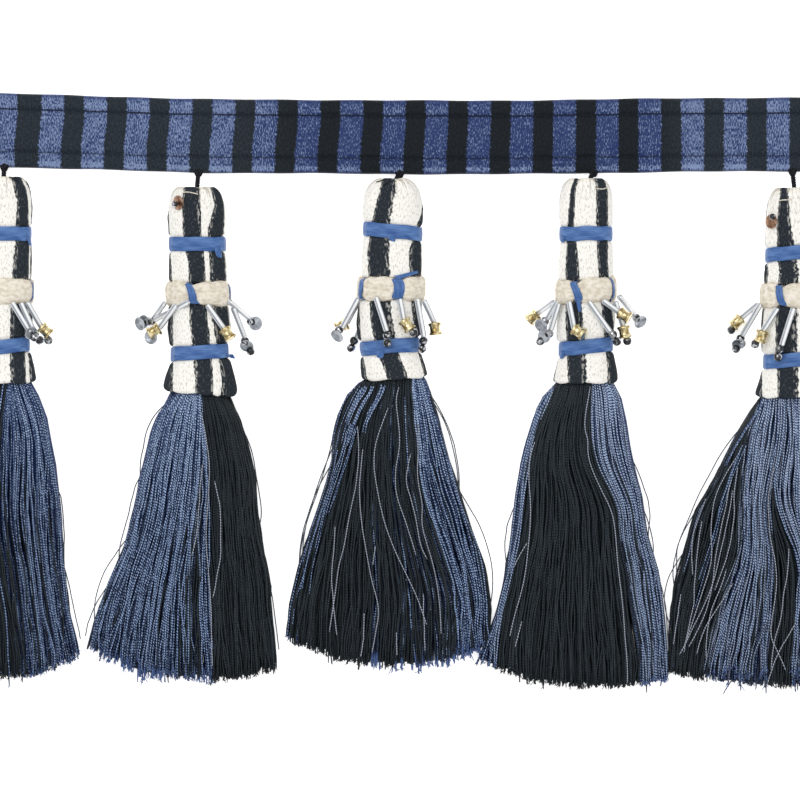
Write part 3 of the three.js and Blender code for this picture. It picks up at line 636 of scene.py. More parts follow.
def front_height(section, across, offset):
    """Height of a section's front over a place across it, grown by an offset."""
    half, low, high = section
    middle = (low + high) / 2
    share = np.minimum(1, np.abs(across) / (half + offset))
    return middle + (high + offset - middle) * (1 - share ** (2 / ROUNDNESS)) ** (ROUNDNESS / 2)


for tail in TAILS:
    tassel = TASSELS[tail.tassel - 1]
    level = PATTERN.upper if tail.band == "upper" else PATTERN.lower
    step = np.linspace(0, 1, TAIL_STATIONS)[:, None]
    wide, thick = rounded_strip(tail.wide, RIBBON_THICK, TAIL_SECTION)
    across = tail.across + (tail.slant * step + (1 - 0.35 * step**3) * wide[None, :])
    down = level + RIBBON_TALL / 2 - TAIL_TUCKED + (tail.reach + TAIL_TUCKED) * step
    down = down + 0.2 * step * wide[None, :]
    up = front_height(section_at(level), across, RIBBON_OUT + 0.3) + thick[None, :] - 0.25 * step
    points = lie(tassel, down, across, up)
    name = f"ribbon_tail_{tail.band}_{tail.tassel}"
    mesh = tube_mesh(name, points, 4 * step[:, 0], np.append(wide, wide[0]))
    add_piece(name, mesh, ribbon, "blue_ribbon")

# A band of beige wool is laid round the middle of each head, padded out between the ties. Loose fibres
# stand off it as a fine fuzz.
WOOL_SECTION = 30
WOOL_ROWS = 150
WOOL_MIDDLE = 1.7
WOOL_HALF_THICK = 1.3
WOOL_HALF_TALL = 3.05
FUZZ_COUNT = 600
FUZZ_LONG = 1.25
FUZZ_RADIUS = 0.03
FUZZ_STATIONS = 4
FUZZ_LOWEST = 0.1
Tie = namedtuple("Tie", "turn wide slant")
# Where the ties cross the wool, in degrees round the head from its right side, with each ribbon's width
# and its turn from top to bottom.
TIES = (
    (Tie(8, 1.6, -0.05), Tie(125, 1.5, -0.08)),
    (Tie(8, 1.6, -0.05), Tie(99, 1.6, -0.09)),
    (Tie(80, 2.3, -0.02), Tie(156, 2.6, 0.05)),
    (Tie(24, 1.6, -0.05), Tie(106, 2.0, -0.1)),
    (Tie(20, 1.6, -0.09), Tie(112, 1.9, -0.1)),
)


def wool_surface(tassel, ties, angle, around):
    """A point of the wool band in metres: a rounded section carried round the head, drawn in at each tie and
    full between. `angle` goes round the head and `around` round the band's own section."""
    waist = [float(w) for w in section_at(PATTERN.wool)]
    gaps = [np.angle(np.exp(1j * (angle - np.radians(t.turn)))) for t in ties]
    tie = np.sum([np.exp(-((g / (0.14 + t.wide / 26)) ** 2)) for g, t in zip(gaps, ties)], axis=0)
    cosine, sine = squared_circle(around, 0.72)
    lump = 0.16 * np.sin(5 * angle + tassel.top_x + 2 * around) * np.sin(3 * angle + around)
    lump = lump + 0.07 * np.sin(13 * angle + 3 * around + tassel.top_y)
    offset = WOOL_MIDDLE + (WOOL_HALF_THICK * (1 - 0.6 * tie) + lump) * cosine
    half, low, high = waist
    across, up = around_head(half + offset, np.maximum(low - offset, 0.1), high + offset, angle)
    tall = WOOL_HALF_TALL * (1.04 - 0.36 * tie)
    tall = tall + 0.18 * np.sin(4 * angle + tassel.top_y) + 0.1 * np.sin(9 * angle)
    return lie(tassel, PATTERN.wool + tall * sine, across, up)


wool, s = new_material("beige_wool", Specular_IOR_Level=0.05, Roughness=0.95)
spot = s.node("TexCoord", output="Object")
felt = spot.grain(900.0, 5.0)
tufts = spot.scaled(0.45, 1, 1).grain(1300.0, 4.0)
colour = (tufts * 0.7 + felt * 0.4).rise(0.36, 0.72).blend(paint(214, 203, 183), paint(247, 240, 227))
surface(s, colour, None, felt * 0.8 + tufts * 0.7, 0.0004)

for number, (tassel, ties) in enumerate(zip(TASSELS, TIES), 1):
    angle = (2 * np.pi * np.arange(WOOL_ROWS) / WOOL_ROWS)[:, None]
    around = (2 * np.pi * np.arange(WOOL_SECTION) / WOOL_SECTION)[None, :]
    points = wool_surface(tassel, ties, angle, around)
    mesh = put_mesh(f"wool_band_{number}", points.reshape(-1, 3), [ring_faces(WOOL_ROWS, WOOL_SECTION)])
    add_piece(f"wool_wrap_{number}", mesh, wool, "beige_wool", f"wool_band_{number}")
    root_angle = rng.uniform(-0.2, np.pi + 0.2, FUZZ_COUNT)[:, None]
    root_around = rng.uniform(-1.9, 1.9, FUZZ_COUNT)[:, None]
    root = wool_surface(tassel, ties, root_angle, root_around)[:, 0]
    centre = wool_surface(tassel, ties, root_angle, root_around + np.pi)[:, 0]
    outward = (root - centre) / np.linalg.norm(root - centre, axis=-1, keepdims=True)
    lean = rng.normal(size=(FUZZ_COUNT, 3))
    reach = FUZZ_LONG * MM * rng.uniform(0.4, 1.2, (FUZZ_COUNT, 1))
    tip = root + reach * (0.35 * outward + 0.6 * lean / np.linalg.norm(lean, axis=-1, keepdims=True))
    bend = 0.25 * reach * rng.normal(size=(FUZZ_COUNT, 3))
    step = np.linspace(0, 1, FUZZ_STATIONS)[None, :, None]
    paths = root[:, None] * (1 - step) + tip[:, None] * step + bend[:, None] * step * (1 - step)
    paths[..., 2] = np.maximum(paths[..., 2], FUZZ_LOWEST * MM)
    thin = FUZZ_RADIUS * MM * (1 - 0.6 * step[..., 0])
    name = f"wool_fuzz_{number}"
    add_piece(name, strand_mesh(name, paths, thin, 3), wool, "beige_wool")

# A whipping of the same blue ribbon runs under the wool and comes up over it in short slanted ties that
# draw the wool in. Two of its cut ends stick out past the wool.
TIE_THICK = 0.3
TIE_STATIONS = 40
TIE_SECTION = 12
FLAG_STATIONS = 14
Flag = namedtuple("Flag", "tassel across below end_across end_below wide")
FLAGS = (Flag(3, 1.0, -2.7, 6.4, -4.3, 1.1), Flag(4, -2.2, 2.4, -1.7, 5.2, 1.2))


def tie_points(tassel, tie):
    """One tie round the wool's section: a flat ribbon section carried along a closed curve just outside the
    drawn-in wool, turning round the head a little from top to bottom."""
    waist = [float(w) for w in section_at(PATTERN.wool)]
    around = (2 * np.pi * np.arange(TIE_STATIONS) / TIE_STATIONS)[:, None]
    wide, thick = rounded_strip(tie.wide, TIE_THICK, TIE_SECTION)
    cosine, sine = squared_circle(around, 0.7)
    offset = WOOL_MIDDLE + (WOOL_HALF_THICK * 0.4 + 0.45) * cosine + thick[None, :] * np.cos(around)
    down = PATTERN.wool + (WOOL_HALF_TALL * 0.74 + 0.25) * sine + thick[None, :] * np.sin(around)
    ripple = 0.025 * np.sin(3 * around + tassel.top_x)
    angle = np.radians(tie.turn) + tie.slant * sine + ripple - wide[None, :] / (waist[0] + 2.5)
    across, up = around_head(waist[0] + offset, waist[1] - offset, waist[2] + offset, angle)
    return lie(tassel, down, across, up)


for number, (tassel, ties) in enumerate(zip(TASSELS, TIES), 1):
    rings = np.stack([tie_points(tassel, tie) for tie in ties])
    quads = ring_faces(TIE_STATIONS, TIE_SECTION)
    faces = np.concatenate([quads + k * TIE_STATIONS * TIE_SECTION for k in range(len(rings))])
    corner_rows, corner_columns = corner_steps(TIE_STATIONS + 1, TIE_SECTION)
    strip_uv = np.stack([corner_columns * 0.3, corner_rows * 0.4], axis=-1)
    strips_uv = np.tile(strip_uv, (len(rings), 1, 1))
    mesh = put_mesh(f"whipping_{number}", rings.reshape(-1, 3), [faces], [strips_uv])
    add_piece(f"whipping_ties_{number}", mesh, ribbon, "blue_ribbon", f"whipping_ribbon_{number}")
for flag in FLAGS:
    tassel = TASSELS[flag.tassel - 1]
    step = np.linspace(0, 1, FLAG_STATIONS)[:, None]
    wide, thick = rounded_strip(flag.wide, TIE_THICK, TIE_SECTION)
    run = np.array([flag.end_across - flag.across, flag.end_below - flag.below])
    run /= np.linalg.norm(run)
    side = (1 - 0.4 * step**2) * wide[None, :]
    across = flag.across + (flag.end_across - flag.across) * step - run[1] * side
    below = flag.below + (flag.end_below - flag.below) * step + run[0] * side
    up = front_height(section_at(PATTERN.wool), across, WOOL_MIDDLE + 0.5 * WOOL_HALF_THICK) + thick[None, :]
    points = lie(tassel, PATTERN.wool + below, across, up)
    name = f"tie_end_{flag.tassel}"
    mesh = tube_mesh(name, points, 5 * step[:, 0], np.append(wide, wide[0]))
    add_piece(name, mesh, ribbon, "blue_ribbon")

# Bugle beads of silver-lined glass hang from a thread under the wool, each ending in small beads: dark
# metallic rounds, gilt spools or clear grey cups. They splay over the head and down its sides.
Dangle = namedtuple(
    "Dangle", "root_across root_below tip_across tip_below ends turn heights", defaults=(0, None))
# Places are in millimetres from the middle of the wool. The end pieces may turn from the bugle's line, in
# degrees towards the right, and a bugle over or under its neighbour has the heights of its two ends.
DANGLES = (
    (
        Dangle(2.6, 2.9, 7.0, 10.3, ("cup", "dark"), -4),
        Dangle(4.8, 3.0, 7.9, 9.9, ("dark", "dark"), 6),
        Dangle(6.4, 2.9, 9.7, 8.9, ("spool", "dark"), 0),
        Dangle(-2.8, 2.9, -8.1, 10.0, ("dark",)),
        Dangle(-6.4, 2.7, -10.4, 9.4, ("spool",)),
        Dangle(-8.2, 2.4, -12.6, 7.0, ("cup", "dark")),
    ),
    (
        Dangle(-8.6, 2.4, -11.9, 6.7, ("dark", "cup", "cup"), -38),
        Dangle(-2.4, 2.2, -11.2, 6.6, ("dark",)),
        Dangle(-5.6, 2.9, -9.9, 8.7, ("spool", "cup"), -4),
        Dangle(2.3, 2.9, 6.6, 9.0, ("spool",)),
        Dangle(7.9, 2.0, 12.7, 6.2, ("dark", "cup")),
        Dangle(8.8, 3.6, 11.6, 11.0, ("dark", "cup", "dark")),
    ),
    (
        Dangle(-9.2, 2.4, -13.2, 9.8, ("dark", "cup"), 0, (9.0, 6.6)),
        Dangle(-9.0, 2.8, -12.0, 8.6, ("spool",), -40, (5.0, 1.9)),
        Dangle(-6.5, 5.0, -9.6, 12.3, ("dark", "dark"), -10, (5.0, 2.6)),
        Dangle(-4.6, 2.2, -1.9, 10.8, ("dark", "dark"), -10),
        Dangle(1.4, 2.6, 2.4, 7.9, ("spool", "dark"), 32),
        Dangle(5.8, 2.6, 7.5, 12.2, ("dark", "dark"), -12),
        Dangle(7.6, 3.0, 10.2, 8.6, ("spool",), 0),
    ),
    (
        Dangle(-8.3, 2.8, -12.2, 5.6, ("spool",), 8),
        Dangle(-7.4, 2.8, -9.8, 7.0, ("dark", "cup"), -10),
        Dangle(-7.0, 3.2, -9.0, 9.9, ("dark", "cup", "dark"), -25),
        Dangle(-4.4, 2.8, -3.1, 9.7, ("spool",), 42),
        Dangle(0.6, 2.8, 6.0, 10.4, ("dark", "dark")),
        Dangle(4.2, 2.5, 8.4, 5.5, ("spool",)),
        Dangle(7.4, 2.8, 9.4, 8.9, ("spool", "dark")),
        Dangle(8.4, 1.4, 12.4, 6.0, ("dark", "cup")),
    ),
    (
        Dangle(-9.2, 2.2, -13.2, 5.6, ("spool", "dark"), 10),
        Dangle(-8.6, 2.2, -12.9, 10.0, ("dark", "cup", "dark")),
        Dangle(-4.4, 3.2, -8.0, 8.9, ("spool", "dark")),
        Dangle(-0.4, 3.2, -3.4, 12.7, ("dark", "dark")),
        Dangle(4.8, 2.9, 9.2, 8.6, ("spool",)),
        Dangle(8.3, 2.4, 12.4, 7.4, ("cup", "dark")),
    ),
)
TIP_ACROSS = (0, 5, 8, 10, 12, 15)
TIP_UP = (13.8, 13.2, 11.4, 7.6, 2.4, 2.2)
THREAD_BELOW = 5
BUGLE_RADIUS = 0.74
BUGLE_LIFT = 1.25
BEAD_SIDES = 14
# Outlines of the end pieces, turned on the thread: distance along it and radius.
END_OUTLINES = {
    "dark": np.array([(0.0, 0.3), (0.05, 0.55), (0.25, 0.87), (0.6, 1.07), (1.05, 1.12), (1.5, 1.02),
                      (1.85, 0.78), (2.05, 0.5), (2.1, 0.25)]),
    "spool": np.array([(0.0, 0.5), (0.0, 1.4), (0.12, 1.64), (0.5, 1.68), (0.7, 1.5), (0.95, 1.36),
                       (1.6, 1.32), (2.25, 1.36), (2.5, 1.5), (2.7, 1.7), (3.0, 1.66), (3.1, 1.4),
                       (3.1, 0.6)]),
    "cup": np.array([(0.0, 0.35), (0.06, 0.8), (0.3, 1.35), (0.62, 1.78), (0.72, 1.82), (0.74, 1.7),
                     (0.5, 1.2), (0.34, 0.6), (0.32, 0.3)]),
}
END_LONG = {"dark": 2.0, "spool": 3.0, "cup": 0.9}
END_FLOOR = 1.9
END_LEAN = {"dark": 1.0, "spool": 0.85, "cup": 0.35}


def lathe(outline, base, axis, sides=BEAD_SIDES):
    """A turned piece: rows of the outline are distance along the axis and radius, in millimetres, from a base
    point in metres. Returns its points and its faces, a square one for each cell and one on each end."""
    axis = axis / np.linalg.norm(axis)
    side = np.cross(axis, [0.0, 0.0, 1.0])
    side /= np.linalg.norm(side)
    over = np.cross(side, axis)
    turn = 2 * np.pi * np.arange(sides) / sides
    ring = np.cos(turn)[:, None] * side + np.sin(turn)[:, None] * over
    along = outline[:, :1, None] * axis
    points = base + MM * (along + outline[:, 1, None, None] * ring)
    return points.reshape(-1, 3), *tube_faces(len(outline), sides)


def turned_mesh(name, parts):
    """One mesh of many turned pieces, each given as its points, square faces and end faces."""
    shifts = np.cumsum([0] + [len(points) for points, _, _ in parts[:-1]])
    points = np.concatenate([p for p, _, _ in parts])
    quads = np.concatenate([q + k for (_, q, _), k in zip(parts, shifts)])
    ends = np.concatenate([e + k for (_, _, e), k in zip(parts, shifts)])
    flank = np.cos(2 * np.pi * np.arange(len(points)) / BEAD_SIDES)
    return put_mesh(name, points, [quads, ends], flank=flank)


def bugle_outline(long):
    """A glass tube's outline: straight sides with the ends rounded over to the hole."""
    ends = np.array([(0.0, 0.3), (0.0, 0.55), (0.12, 0.7), (0.35, BUGLE_RADIUS)])
    far = np.stack([long - ends[::-1, 0], ends[::-1, 1]], axis=-1)
    return np.concatenate([ends, far])


def cloudy_material(name, scale, detail, dark, light, smooth, cloudy, **constants):
    """A shiny material clouded by soft noise, which takes its colour from dark to light and roughens it."""
    material, s = new_material(name, **constants)
    cloud = s.node("TexCoord", output="Object").grain(scale, detail)
    surface(s, cloud.rise(0.3, 0.7).blend(dark, light), smooth + cloud * cloudy)
    return material


bugle_glass, s = new_material(
    "bugle_glass", Metallic=0.0, Coat_Weight=1.0, Coat_Roughness=0.03, Specular_IOR_Level=0.8)
flank = s.attribute("flank")
# The bugle's colour is painted round its tube from flank: white stripes of painted highlight on the
# silver-grey, and dark lines of painted reflection.
shine = abs(flank + 0.3).rise(0.42, 0.14)
painted_dark_lines = (abs(flank - 0.42).rise(0.16, 0.08) + abs(flank + 0.86).rise(0.12, 0.04)) * 0.8
silver = shine.blend(paint(200, 206, 214), paint(254, 255, 255))
surface(s, painted_dark_lines.blend(silver, paint(58, 62, 68)), 0.18)
dark_metal, s = new_material("dark_metal_bead", Metallic=0.85, Coat_Weight=0.6, Coat_Roughness=0.05)
spot = s.node("TexCoord", output="Object")
# Random cells are painted near white on the dark metal: painted glints, as of facets catching the light.
facet_glint = spot.node("TexVoronoi", {}, {"Vector": spot, "Scale": 1250.0}, output="Color").axis("X")
surface(s, facet_glint.rise(0.45, 0.95).blend(paint(40, 42, 46), paint(206, 208, 212)), 0.12 + facet_glint * 0.1)
gilt = cloudy_material(
    "gilt_spool", 800.0, 3.0, paint(150, 122, 62), paint(252, 238, 190), 0.16, 0.15,
    Metallic=1.0, Coat_Weight=0.3)
cup_glass = cloudy_material(
    "grey_cup", 600.0, 2.0, paint(120, 126, 134), paint(190, 196, 204), 0.2, 0.1,
    Metallic=0.35, Coat_Weight=1.0, Coat_Roughness=0.05)
END_MATERIALS = {"dark": dark_metal, "spool": gilt, "cup": cup_glass}
END_NAMES = {"dark": "dark_beads", "spool": "gilt_spools", "cup": "grey_cups"}

thread_section = section_at(PATTERN.wool + THREAD_BELOW)
for number, (tassel, dangles) in enumerate(zip(TASSELS, DANGLES), 1):
    bugles = []
    ends = {kind: [] for kind in END_OUTLINES}
    for dangle in dangles:
        root_up = float(front_height(thread_section, dangle.root_across, BUGLE_LIFT))
        tip_up = float(np.interp(abs(dangle.tip_across), TIP_ACROSS, TIP_UP))
        if dangle.heights:
            root_up, tip_up = dangle.heights
        middle = lie(tassel, PATTERN.wool, 0.0, 0.0) - [bow_at(tassel, PATTERN.wool) * MM, 0, 0]
        start = middle + np.array([dangle.root_across, -dangle.root_below, root_up]) * MM
        finish = middle + np.array([dangle.tip_across, -dangle.tip_below, tip_up]) * MM
        along = finish - start
        bugles.append(lathe(bugle_outline(np.linalg.norm(along) / MM), start, along))
        level = along * [1, 1, 0.25]
        level /= np.linalg.norm(level)
        swing = np.radians(dangle.turn)
        cosine, sine = np.cos(swing), np.sin(swing)
        level = level @ [[cosine, sine, 0], [-sine, cosine, 0], [0, 0, 1]]
        seat = finish
        for kind in dangle.ends:
            tilt = level * END_LEAN[kind] + rng.normal(scale=0.2, size=3) * [1, 1, 0.6]
            tilt[2] += 1 - END_LEAN[kind]
            ends[kind].append(lathe(END_OUTLINES[kind], seat, tilt))
            seat = seat + level * END_LONG[kind] * MM
            seat[2] = max(seat[2], END_FLOOR * MM)
    mesh = turned_mesh(f"glass_bugles_{number}", bugles)
    add_piece(f"glass_bugles_{number}", mesh, bugle_glass, "bead_glass", f"bead_fringe_{number}")
    for kind, parts in ends.items():
        if parts:
            name = f"{END_NAMES[kind]}_{number}"
            add_piece(name, turned_mesh(name, parts), END_MATERIALS[kind], "bead_glass")

# Two heads carry a cupped copper sequin, sewn to the braid of the shoulder, with a small dark metal bead
# on it or beside it.
Sequin = namedtuple("Sequin", "tassel across down lift tilt bead_across bead_down")
SEQUINS = (Sequin(2, -4.1, 4.0, -0.35, 0.6, -5.6, 4.9), Sequin(5, -5.7, 7.0, 0.1, 0.0, -5.6, 6.5))
SEQUIN_OUTLINE = np.array([(0.35, 0.3), (0.3, 0.9), (0.42, 1.5), (0.62, 1.85), (0.72, 1.86), (0.74, 1.75),
                           (0.6, 1.4), (0.52, 0.9), (0.55, 0.3)])
SEQUIN_BEAD = END_OUTLINES["dark"] * (0.75, 0.75) + (0.5, 0.0)
SLOPE_PROBE = 0.05
copper = cloudy_material(
    "copper_sequin", 900.0, 3.0, paint(126, 88, 64), paint(206, 164, 134), 0.22, 0.15,
    Metallic=0.9, Coat_Weight=0.5)
for number, across, down, lift, tilt, bead_across, bead_down in SEQUINS:
    section = section_at(down)
    near = (0, -SLOPE_PROBE, SLOPE_PROBE)
    here, left, right = (float(front_height(section, across + d, 0.0)) for d in near)
    outward = np.array([left - right, 0.0, 2 * SLOPE_PROBE])
    base = lie(TASSELS[number - 1], down, across, here + lift)
    facing = outward + [-2 * SLOPE_PROBE * tilt, 1e-6, 0]
    mesh = turned_mesh(f"copper_sequin_{number}", [lathe(SEQUIN_OUTLINE, base, facing)])
    add_piece(f"copper_sequin_{number}", mesh, copper, "copper_sequin", f"shoulder_sequin_{number}")
    bead_up = float(front_height(section, bead_across, 0.3))
    side = lie(TASSELS[number - 1], bead_down, bead_across, bead_up)
    mesh = turned_mesh(f"sequin_bead_{number}", [lathe(SEQUIN_BEAD, side, outward + [0.06, 0.05, 0])])
    add_piece(f"sequin_bead_{number}", mesh, dark_metal, "copper_sequin")

# Short cords of two twisted black plies hang the heads from the tape. Each is knotted where it leaves the
# tape's lower edge and runs into the gathered top of its head.
CORD_FOOT_UP = 1.3
CORD_HEAD_UP = 5.2
CORD_IN_TAPE = 0.9
CORD_IN_HEAD = 0.6
CORD_STATIONS = 48
CORD_PLY = 0.3
CORD_PLY_RADIUS = 0.34
CORD_PITCH = 1.7
KNOT_TURNS = 2.6
KNOT_RADIUS = 0.62
KNOT_CORD = 0.5
KNOT_ABOVE_EDGE = 0.35
KNOT_LONG = 1.1
KNOT_CLIMB = 0.8
HAIR_GRAIN = 2600.0


def hairy_thread(name, roughness, dark, light, depth):
    """A matt thread whose fine hairs take its colour from dark to light and stand up by a depth in metres."""
    material, s = new_material(name, Roughness=roughness, Specular_IOR_Level=0.08)
    hairs = s.node("TexCoord", output="Object").grain(HAIR_GRAIN, 3.0)
    surface(s, hairs.rise(0.3, 0.8).blend(dark, light), None, hairs, depth)
    return material


black_thread = hairy_thread("black_cord", 0.75, paint(14, 15, 18), paint(52, 54, 60), 0.00012)
for number, tassel in enumerate(TASSELS, 1):
    step = np.linspace(0, 1, CORD_STATIONS)
    cord_x = tassel.top_x + tassel.cord_x
    edge_y = tape_middle(np.array([cord_x]))[0] - TAPE_HALF
    start_y = edge_y + CORD_IN_TAPE
    finish_y = tassel.top_y - CORD_IN_HEAD
    rise = step * step * (3 - 2 * step)
    middle = np.stack([cord_x - 0.5 * tassel.cord_x * rise, start_y + (finish_y - start_y) * step,
                       CORD_FOOT_UP + (CORD_HEAD_UP - CORD_FOOT_UP) * rise], axis=-1)
    spin = np.linspace(0, 2 * np.pi * np.hypot(finish_y - start_y, CORD_HEAD_UP) / CORD_PITCH, CORD_STATIONS)
    turns = [np.stack([np.cos(spin + p), 0.5 * np.sin(spin + p), np.sin(spin + p)], axis=-1)
             for p in (0, np.pi)]
    plies = [middle + CORD_PLY * turn for turn in turns]
    swing = np.linspace(0, 2 * np.pi * KNOT_TURNS, CORD_STATIONS)
    wide = KNOT_RADIUS * (1.3 - 0.8 * step)
    knot = np.stack([cord_x + wide * np.cos(swing), edge_y + KNOT_ABOVE_EDGE - KNOT_LONG * step,
                     CORD_FOOT_UP + KNOT_CLIMB * step + 0.7 * wide * np.sin(swing)], axis=-1)
    paths = np.stack([*plies, knot]) * MM
    thick = np.array([CORD_PLY_RADIUS, CORD_PLY_RADIUS, KNOT_CORD])[:, None] * MM
    mesh = strand_mesh(f"hanging_cord_{number}", paths, thick, 8)
    add_piece(f"twisted_cord_{number}", mesh, black_thread, "black_cord", f"hanging_cord_{number}")

# Loose binding threads, black or white, cross the tops of the heads where the braid was gathered. Each is
# a single thread that lies on the braid.
Binding = namedtuple("Binding", "tassel black line")
BINDINGS = (
    Binding(1, True, ((0.2, 1.6), (0.1, 2.4), (0.8, 3.6), (1.6, 4.4))),
    Binding(2, False, ((1.5, -3.9), (1.3, -2.2), (1.6, -0.6), (2.0, 0.8))),
    Binding(3, True, ((1.2, -5.0), (0.7, -3.6), (0.5, -2.0), (0.3, -0.6))),
    Binding(3, True, ((2.4, -3.0), (1.6, -1.9), (0.8, -1.0), (0.2, -0.4))),
    Binding(4, False, ((2.6, 2.2), (2.9, 3.8), (2.8, 5.0), (2.4, 6.0))),
    Binding(5, False, ((2.8, -4.4), (2.6, -3.2), (2.7, -2.0), (2.4, -1.2))),
)
BINDING_STATIONS = 24
BINDING_RADIUS = 0.17
BINDING_EASE = 0.15
BINDING_OUT = 0.12


def along_line(line, step, ease):
    """Two readings along a line of measured places, at shares of the way from 0 to 1: each is the mean of
    straight interpolations at five shares within the ease to either side."""
    places = np.linspace(0, 1, len(line))
    near = np.linspace(-ease, ease, 5)
    return [np.mean([np.interp(np.clip(step + n, 0, 1), places, column) for n in near], axis=0)
            for column in np.transpose(line)]


white_thread = hairy_thread("white_binding", 0.8, paint(190, 182, 166), paint(246, 242, 232), 0.0001)
for order, binding in enumerate(BINDINGS, 1):
    step = np.linspace(0, 1, BINDING_STATIONS)
    down, across = along_line(binding.line, step, BINDING_EASE)
    up = front_height(section_at(down), across, BINDING_OUT)
    paths = lie(TASSELS[binding.tassel - 1], down, across, up)[None]
    mesh = strand_mesh(f"binding_thread_{order}", paths, BINDING_RADIUS * MM, 6)
    thread = black_thread if binding.black else white_thread
    add_piece(f"binding_thread_{order}", mesh, thread, "black_cord" if binding.black else "striped_braid")

# The skirts are cut lengths of two-ply lustrous thread, bound inside the hem and fanned out on the table.
# Blue and black threads lie in locks side by side, with single pale threads straying over the black, and
# their cut ends are frayed.
Skirt = namedtuple("Skirt", "left right ends gloss shy tips locks streaks singles loops")
Lock = namedtuple("Lock", "blue edge sunk", defaults=(False,))
Streak = namedtuple("Streak", "count wide line")
OUTLINE_DROPS = (0, 3, 6, 10, 14, 20, 28, 38, 48, 58, 66, 73)
END_SHARES = (-1, -0.5, 0, 0.5, 1)
LOCK_DROPS = (0, 6, 12, 18, 24, 30, 40, 54, 68)
